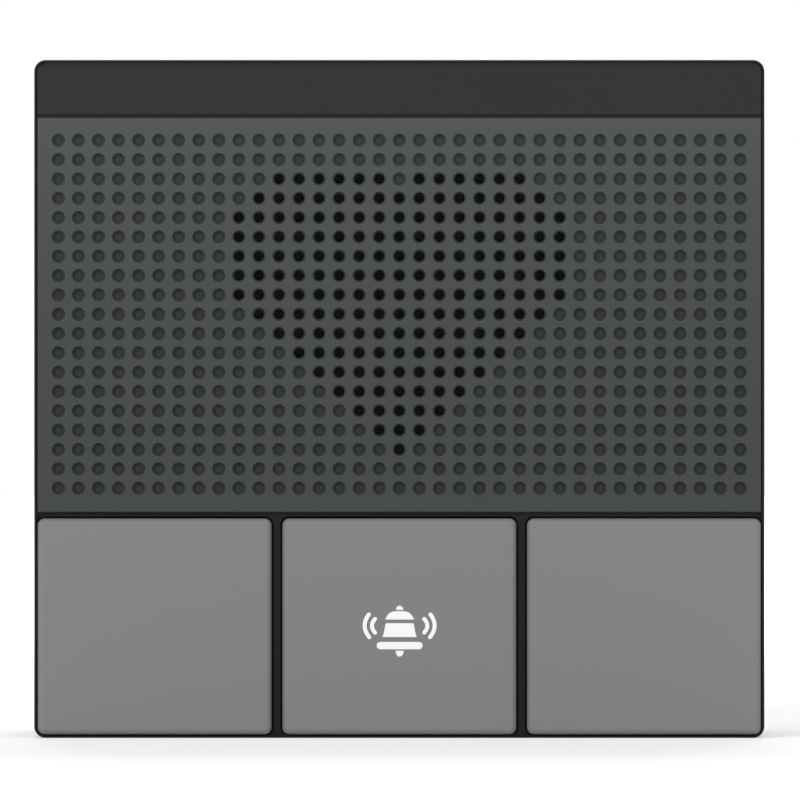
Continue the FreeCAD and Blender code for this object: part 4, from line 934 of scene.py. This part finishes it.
# the frame's small chamfer along the rim is squared off, to be rounded further
def squaredRim(shape):
    moved = set()
    for vert in shape.verts:
        place = millimetres(vert.co)
        if place.y < near - case["rim"] and caseInset(place) < case["chamfer"]:
            for edge in vert.link_edges:
                other = edge.other_vert(vert)
                deeper = other.co.y > vert.co.y + case["chamferDeep"] * mm
                if deeper and caseInset(millimetres(other.co)) < near:
                    vert.co.x, vert.co.z = other.co.x, other.co.z
                    moved.add(other)
    for vert in moved:
        vert.co.y = -(case["rim"] - case["rimSide"]) * mm


def makeCase():
    rim = both(lambda p: p.y < near - case["rim"] and caseInset(p) < near)
    seam = both(lambda p: p.y > -case["parting"] - near and caseInset(p) < case["skin"])
    ribs = both(lambda p: abs(p.y + case["ribFront"]) < near)
    roundedPiece("front_housing", "front_case", (
        (rim, case["rimRound"], 3), (seam, case["partingRound"], 2),
        (lambda a, b: ribs(a, b) and abs(a.z - b.z) > case["ribLong"], case["ribRound"], 3)),
        squaredRim)
    size = case["coverHalfWidth"], case["coverHalfHeight"], case["coverCorner"]
    edge = both(lambda p: abs(p.y + case["coverBack"]) < near
                and inset(p, *size) < case["coverEdge"])
    roundedPiece("rear_cover", "back_case", ((edge, case["coverRound"], 3),))
    front = both(lambda p: p.y < near - case["rim"])
    roundedPiece("top_trim", "top_band", ((front, case["trimRound"], 3),), steppedTrim)
    print("case made")


makeCase()


# Wall bracket and connectors, seen from behind

bracket = dict(edgeRound=0.14)
jack = dict(
    back=2.5, edgeRound=0.25, contacts=8, pitch=1.02, wide=0.46, thick=0.25,
    bends=((4.2, 13.45), (4.7, 13.18), (9.8, 11.4), (10.6, 11.2), (11.1, 11.55)),
)
terminals = dict(
    back=5.0, edgeRound=0.2, ways=8, pitch=3.5, middleZ=-9.8, clampHalf=1.02,
    clampDepth=8.6, clampLong=2.2, slotHalf=0.16, slotDeep=0.5,
)


# one springy contact of the network socket, at x = 0, bent at (depth, z) places
def socketContact():
    shape = bmesh.new()
    half, thick = jack["wide"] / 2, jack["thick"]
    section = (-half, 0), (half, 0), (half, thick), (-half, thick)
    rings = [[shape.verts.new((x * mm, -depth * mm, (z + up) * mm)) for x, up in section]
             for depth, z in jack["bends"]]
    for first, second in zip(rings, rings[1:]):
        wall(shape, first, second)
    shape.faces.new(rings[0][::-1])
    shape.faces.new(rings[-1])
    return pieceFrom(outward(shape), "contact", "contactGold")


# the slotted clamp seen inside a wire entry, at x = 0
def wireClamp():
    shape = bmesh.new()
    half, slot, depth = terminals["clampHalf"], terminals["slotHalf"], terminals["clampDepth"]
    low, high = terminals["middleZ"] - half, terminals["middleZ"] + half
    for left, right, back in ((-half, -slot, depth), (-slot, slot, depth + terminals["slotDeep"]),
                              (slot, half, depth)):
        extruded(shape, [(left, low), (right, low), (right, high), (left, high)], back,
                 depth + terminals["clampLong"])
    return pieceFrom(outward(shape), "clamp", "socketShield")


def makeBack():
    roundedPiece("wall_bracket", "wall_plate", ((None, bracket["edgeRound"], 2),))
    for node, name, look in (("network_jack", "network_socket_shell", jack),
                             ("terminal_block", "wire_terminals", terminals)):
        face = both(lambda p: p.y > -look["back"] - near)
        roundedPiece(node, name, ((face, look["edgeRound"], 2),))
    tree, sockets = rowTree()
    for name, part, count, pitch, finish in (
            ("socket_contacts", socketContact(), jack["contacts"], jack["pitch"], "contactGold"),
            ("wire_clamps", wireClamp(), terminals["ways"], terminals["pitch"], "socketShield")):
        row = repeated(name, [], part, tree, sockets, {
            "Count": count, "Start": (-(count - 1) * pitch / 2 * mm, 0, 0),
            "Step": (pitch * mm, 0, 0), "Finish": finishes[finish]})
        attach(row, "intercom", "screw_steel")
    print("bracket and connectors made")


makeBack()


# Screws with round heads and a cross recess, where the frame has its plain ones

screws = dict(
    case=dict(shank=1.35, head=2.2, height=1.8, thread=0.7, cut=0.16, seed=4),
    lock=dict(shank=1.35, head=2.6, height=1.6, thread=0.7, cut=0.16, seed=7),
    sides=28, tip=0.25, taper=0.9, threadStart=1.1, threadEnd=1.2, neck=0.8,
    brim=(0.05, 0.06),
    # shares of the head's radius and height
    dome=((1, 0.42), (0.96, 0.64), (0.86, 0.83), (0.72, 0.95), (0.6, 1)),
    crossWide=0.1, crossReach=0.46, crossTaper=0.6, crossFloor=0.35,
    cup=dict(inner=2.33, outer=3.3, proud=0.2, deep=5.6, round=0.12, bend=0.3, skirt=0.3,
             thick=0.03),
)


# boxes of the separate solids of a node, in millimetres
def solidBoxes(name):
    shape = mergedNode(name)
    left = set(shape.verts)
    boxes = []
    while left:
        first = next(vert for vert in shape.verts if vert in left)
        left.remove(first)
        reached, edge = set(), [first]
        while edge:
            vert = edge.pop()
            reached.add(vert)
            for link in vert.link_edges:
                other = link.other_vert(vert)
                if other in left:
                    left.remove(other)
                    edge.append(other)
        places = [millimetres(vert.co) for vert in reached]
        boxes.append([Vector([pick(p[i] for p in places) for i in range(3)])
                      for pick in (min, max)])
    shape.free()
    return boxes


# rings of (radius, height) round the z axis joined into walls
def lathe(shape, profile, sides):
    rings = [[shape.verts.new((x * mm, y * mm, height * mm)) for x, y in circle(radius, sides)]
             for radius, height in profile]
    for lower, upper in zip(rings, rings[1:]):
        wall(shape, lower, upper)
    return rings


# a screw standing on its tip, the seat of its head at z = 0
def crossScrew(look, length):
    shape = bmesh.new()
    head, height, shank = look["head"], look["height"], look["shank"]
    root = shank - look["cut"]
    profile = [(screws["tip"], -length), (root, screws["taper"] - length)]
    level = screws["threadStart"] - length
    while level < -screws["threadEnd"]:
        profile += [(shank, level), (root, level + look["thread"] / 2)]
        level += look["thread"]
    narrow, thick = screws["brim"]
    profile += [(shank, -screws["neck"]), (shank, 0), (head - narrow, 0), (head, thick)]
    profile += [(head * wide, height * up) for wide, up in screws["dome"]]
    rings = lathe(shape, profile, screws["sides"])
    shape.faces.new(rings[0][::-1])
    wide, reach = head * screws["crossWide"], head * screws["crossReach"]
    cross, quarter = [], [(wide, reach), (-wide, reach), (-wide, wide)]
    for arm in range(4):
        cross += quarter
        quarter = [(-y, x) for x, y in quarter]
    top, floor = [[shape.verts.new((x * share * mm, y * share * mm, height * up * mm))
                   for x, y in cross]
                  for share, up in ((1, 1), (screws["crossTaper"], screws["crossFloor"]))]
    edges = [shape.edges.get((rings[-1][i - 1], rings[-1][i])) for i in range(len(rings[-1]))]
    edges += [shape.edges.new((top[i - 1], top[i])) for i in range(len(top))]
    bmesh.ops.triangle_fill(shape, edges=edges, use_beauty=True)
    wall(shape, top, floor)
    shape.faces.new(floor)
    return outward(shape)


# a raised ring and its tube, for the well of a case screw; its axis is z, the cover's back at 0
def screwCup():
    shape = bmesh.new()
    cup = screws["cup"]
    inner, outer, proud, edge = cup["inner"], cup["outer"], cup["proud"], cup["round"]
    bend, tube = edge * cup["bend"], cup["inner"] + cup["thick"]
    profile = [(outer, -cup["skirt"]), (outer, proud - edge), (outer - bend, proud - bend),
               (outer - edge, proud), (inner + edge, proud), (inner + bend, proud - bend),
               (inner, proud - edge), (inner, -cup["deep"]), (tube, -cup["deep"]),
               (tube, -cup["skirt"]), (outer, -cup["skirt"])]
    lathe(shape, profile, screws["sides"])
    bmesh.ops.remove_doubles(shape, verts=shape.verts, dist=meshing["weld"])
    return outward(shape)


def makeScrews():
    tree, sockets = fastenerTree()

    # the part at each spot, its z axis laid along a direction, and turned by chance
    def placed(name, spots, shape, direction, slot, turn, seed, *replaced):
        lay = Vector((0, 0, 1)).rotation_difference(Vector(direction)).to_matrix()
        bmesh.ops.rotate(shape, cent=(0, 0, 0), matrix=lay, verts=shape.verts)
        part = pieceFrom(shape, "part", finishOf(slot))
        made = repeated(name, spots, part, tree, sockets, {
            "Axis": tuple(abs(way) for way in direction), "Most Turn": turn, "Seed": seed,
            "Finish": finishes[finishOf(slot)]})
        attach(made, "intercom", slot, *replaced)

    look = screws["case"]
    boxes = solidBoxes("case_screws")
    spots = [((low.x + high.x) / 2, high.y - look["height"], (low.z + high.z) / 2)
             for low, high in boxes]
    screw = crossScrew(look, boxes[0][1].y - boxes[0][0].y - look["height"])
    placed("case_screw_set", spots, screw, (0, 1, 0), "screw_steel", math.pi / 2, look["seed"],
           "case_screws")
    rings = [(x, -case["coverBack"], z) for x, y, z in spots]
    placed("screw_cups", rings, screwCup(), (0, 1, 0), "housing", 0.0, 1)
    look = screws["lock"]
    low, high = solidBoxes("lock_screw")[0]
    spot = ((low.x + high.x) / 2, (low.y + high.y) / 2, low.z + look["height"])
    screw = crossScrew(look, high.z - low.z - look["height"])
    placed("lock_screw_set", [spot], screw, (0, 0, -1), "screw_steel", math.pi / 2, look["seed"],
           "lock_screw")
    print("screws made:", len(spots) + 1)


makeScrews()


# Stage, light and camera

stage = dict(
    floor=-44.1, size=6.0, greys=(0.8, 0.84), cloudScale=3.0, lift=0.36,
    fadeFrom=0.15, fadeTo=0.6, backdrop=1.0, worldLight=0.45,
)
lamps = (
    # name, place, size, watts
    ("key lamp", (-0.75, -1.15, 0.65), 0.8, 9.0),
    ("fill lamp", (0.9, -1.25, 0.3), 0.9, 4.0),
    ("back lamp", (0.05, 1.0, 1.1), 0.7, 8.0),
)
shot = dict(across=0.104, distance=1.2, middleX=0.00009, middleZ=-0.00014, sensor=36,
            clip=(0.01, 50))
white = (1, 1, 1, 1)


# 1 for what the camera sees, straight, in a gloss or through glass
def seenRays(graph):
    rays = graph.add("ShaderNodeLightPath", output="Is Camera Ray")
    seen = rays + rays.output("Is Glossy Ray") + rays.output("Is Transmission Ray")
    return seen.maths("MINIMUM", 1.0)


def makeFloor():
    graph, place = newFinish("paleFloor")
    cloud = graph.noise(place, stage["cloudScale"], 3.0)
    colour = graph.mixColour(cloud, *[(grey, grey, grey, 1) for grey in stage["greys"]])
    matt = graph.add("ShaderNodeBsdfDiffuse", None, {"Color": colour})
    # past the shadow it fades into the white backdrop
    away = graph.add("ShaderNodeVectorMath", {"operation": "LENGTH"}, {0: place}, "Value")
    lift = graph.add("ShaderNodeMapRange", {"interpolation_type": "SMOOTHSTEP"}, {
        "Value": away, "From Min": stage["fadeFrom"], "From Max": stage["fadeTo"],
        "To Min": stage["lift"], "To Max": stage["backdrop"]})
    strength = seenRays(graph) * lift
    glow = graph.add("ShaderNodeEmission", None, {"Color": white, "Strength": strength})
    lit = graph.add("ShaderNodeAddShader", None, {0: matt, 1: glow})
    # from below the floor lets the camera see the object's underside
    below = graph.add("ShaderNodeNewGeometry", output="Backfacing")
    clear = graph.add("ShaderNodeBsdfTransparent")
    shader = graph.add("ShaderNodeMixShader", None, {0: below, 1: lit, 2: clear})
    graph.add("ShaderNodeOutputMaterial", None, {"Surface": shader})
    shape = bmesh.new()
    half = stage["size"] / 2
    shape.faces.new([shape.verts.new((x * half, y * half, stage["floor"] * mm))
                     for x, y in ((-1, -1), (1, -1), (1, 1), (-1, 1))])
    pieceFrom(shape, "floor", "paleFloor")


def makeWorld():
    world = bpy.data.worlds.new("studio")
    world.use_nodes = True
    world.node_tree.nodes.clear()
    graph = Graph(world.node_tree)
    light, backdrop = [
        graph.add("ShaderNodeBackground", None, {"Color": white, "Strength": strength})
        for strength in (stage["worldLight"], stage["backdrop"])]
    mix = graph.add("ShaderNodeMixShader", None, {0: seenRays(graph), 1: light, 2: backdrop})
    graph.add("ShaderNodeOutputWorld", None, {"Surface": mix})
    bpy.context.scene.world = world


def makeLamps():
    for name, place, size, watts in lamps:
        data = bpy.data.lights.new(name, "AREA")
        data.shape = "DISK"
        data.size = size
        data.energy = watts
        lamp = linked(name, data)
        lamp.location = place
        lamp.rotation_euler = (-Vector(place)).to_track_quat("-Z", "Y").to_euler()


def makeCamera():
    data = bpy.data.cameras.new("camera")
    data.sensor_width = shot["sensor"]
    data.lens = shot["sensor"] * shot["distance"] / shot["across"]
    data.clip_start, data.clip_end = shot["clip"]
    camera = linked("camera", data)
    camera.location = (shot["middleX"], cadBox[0].y - shot["distance"], shot["middleZ"])
    camera.rotation_euler = (math.pi / 2, 0, 0)
    bpy.context.scene.camera = camera


makeFloor()
makeWorld()
makeLamps()
makeCamera()
bpy.context.scene.view_settings.view_transform = "Standard"
print("stage, lamps and camera set")
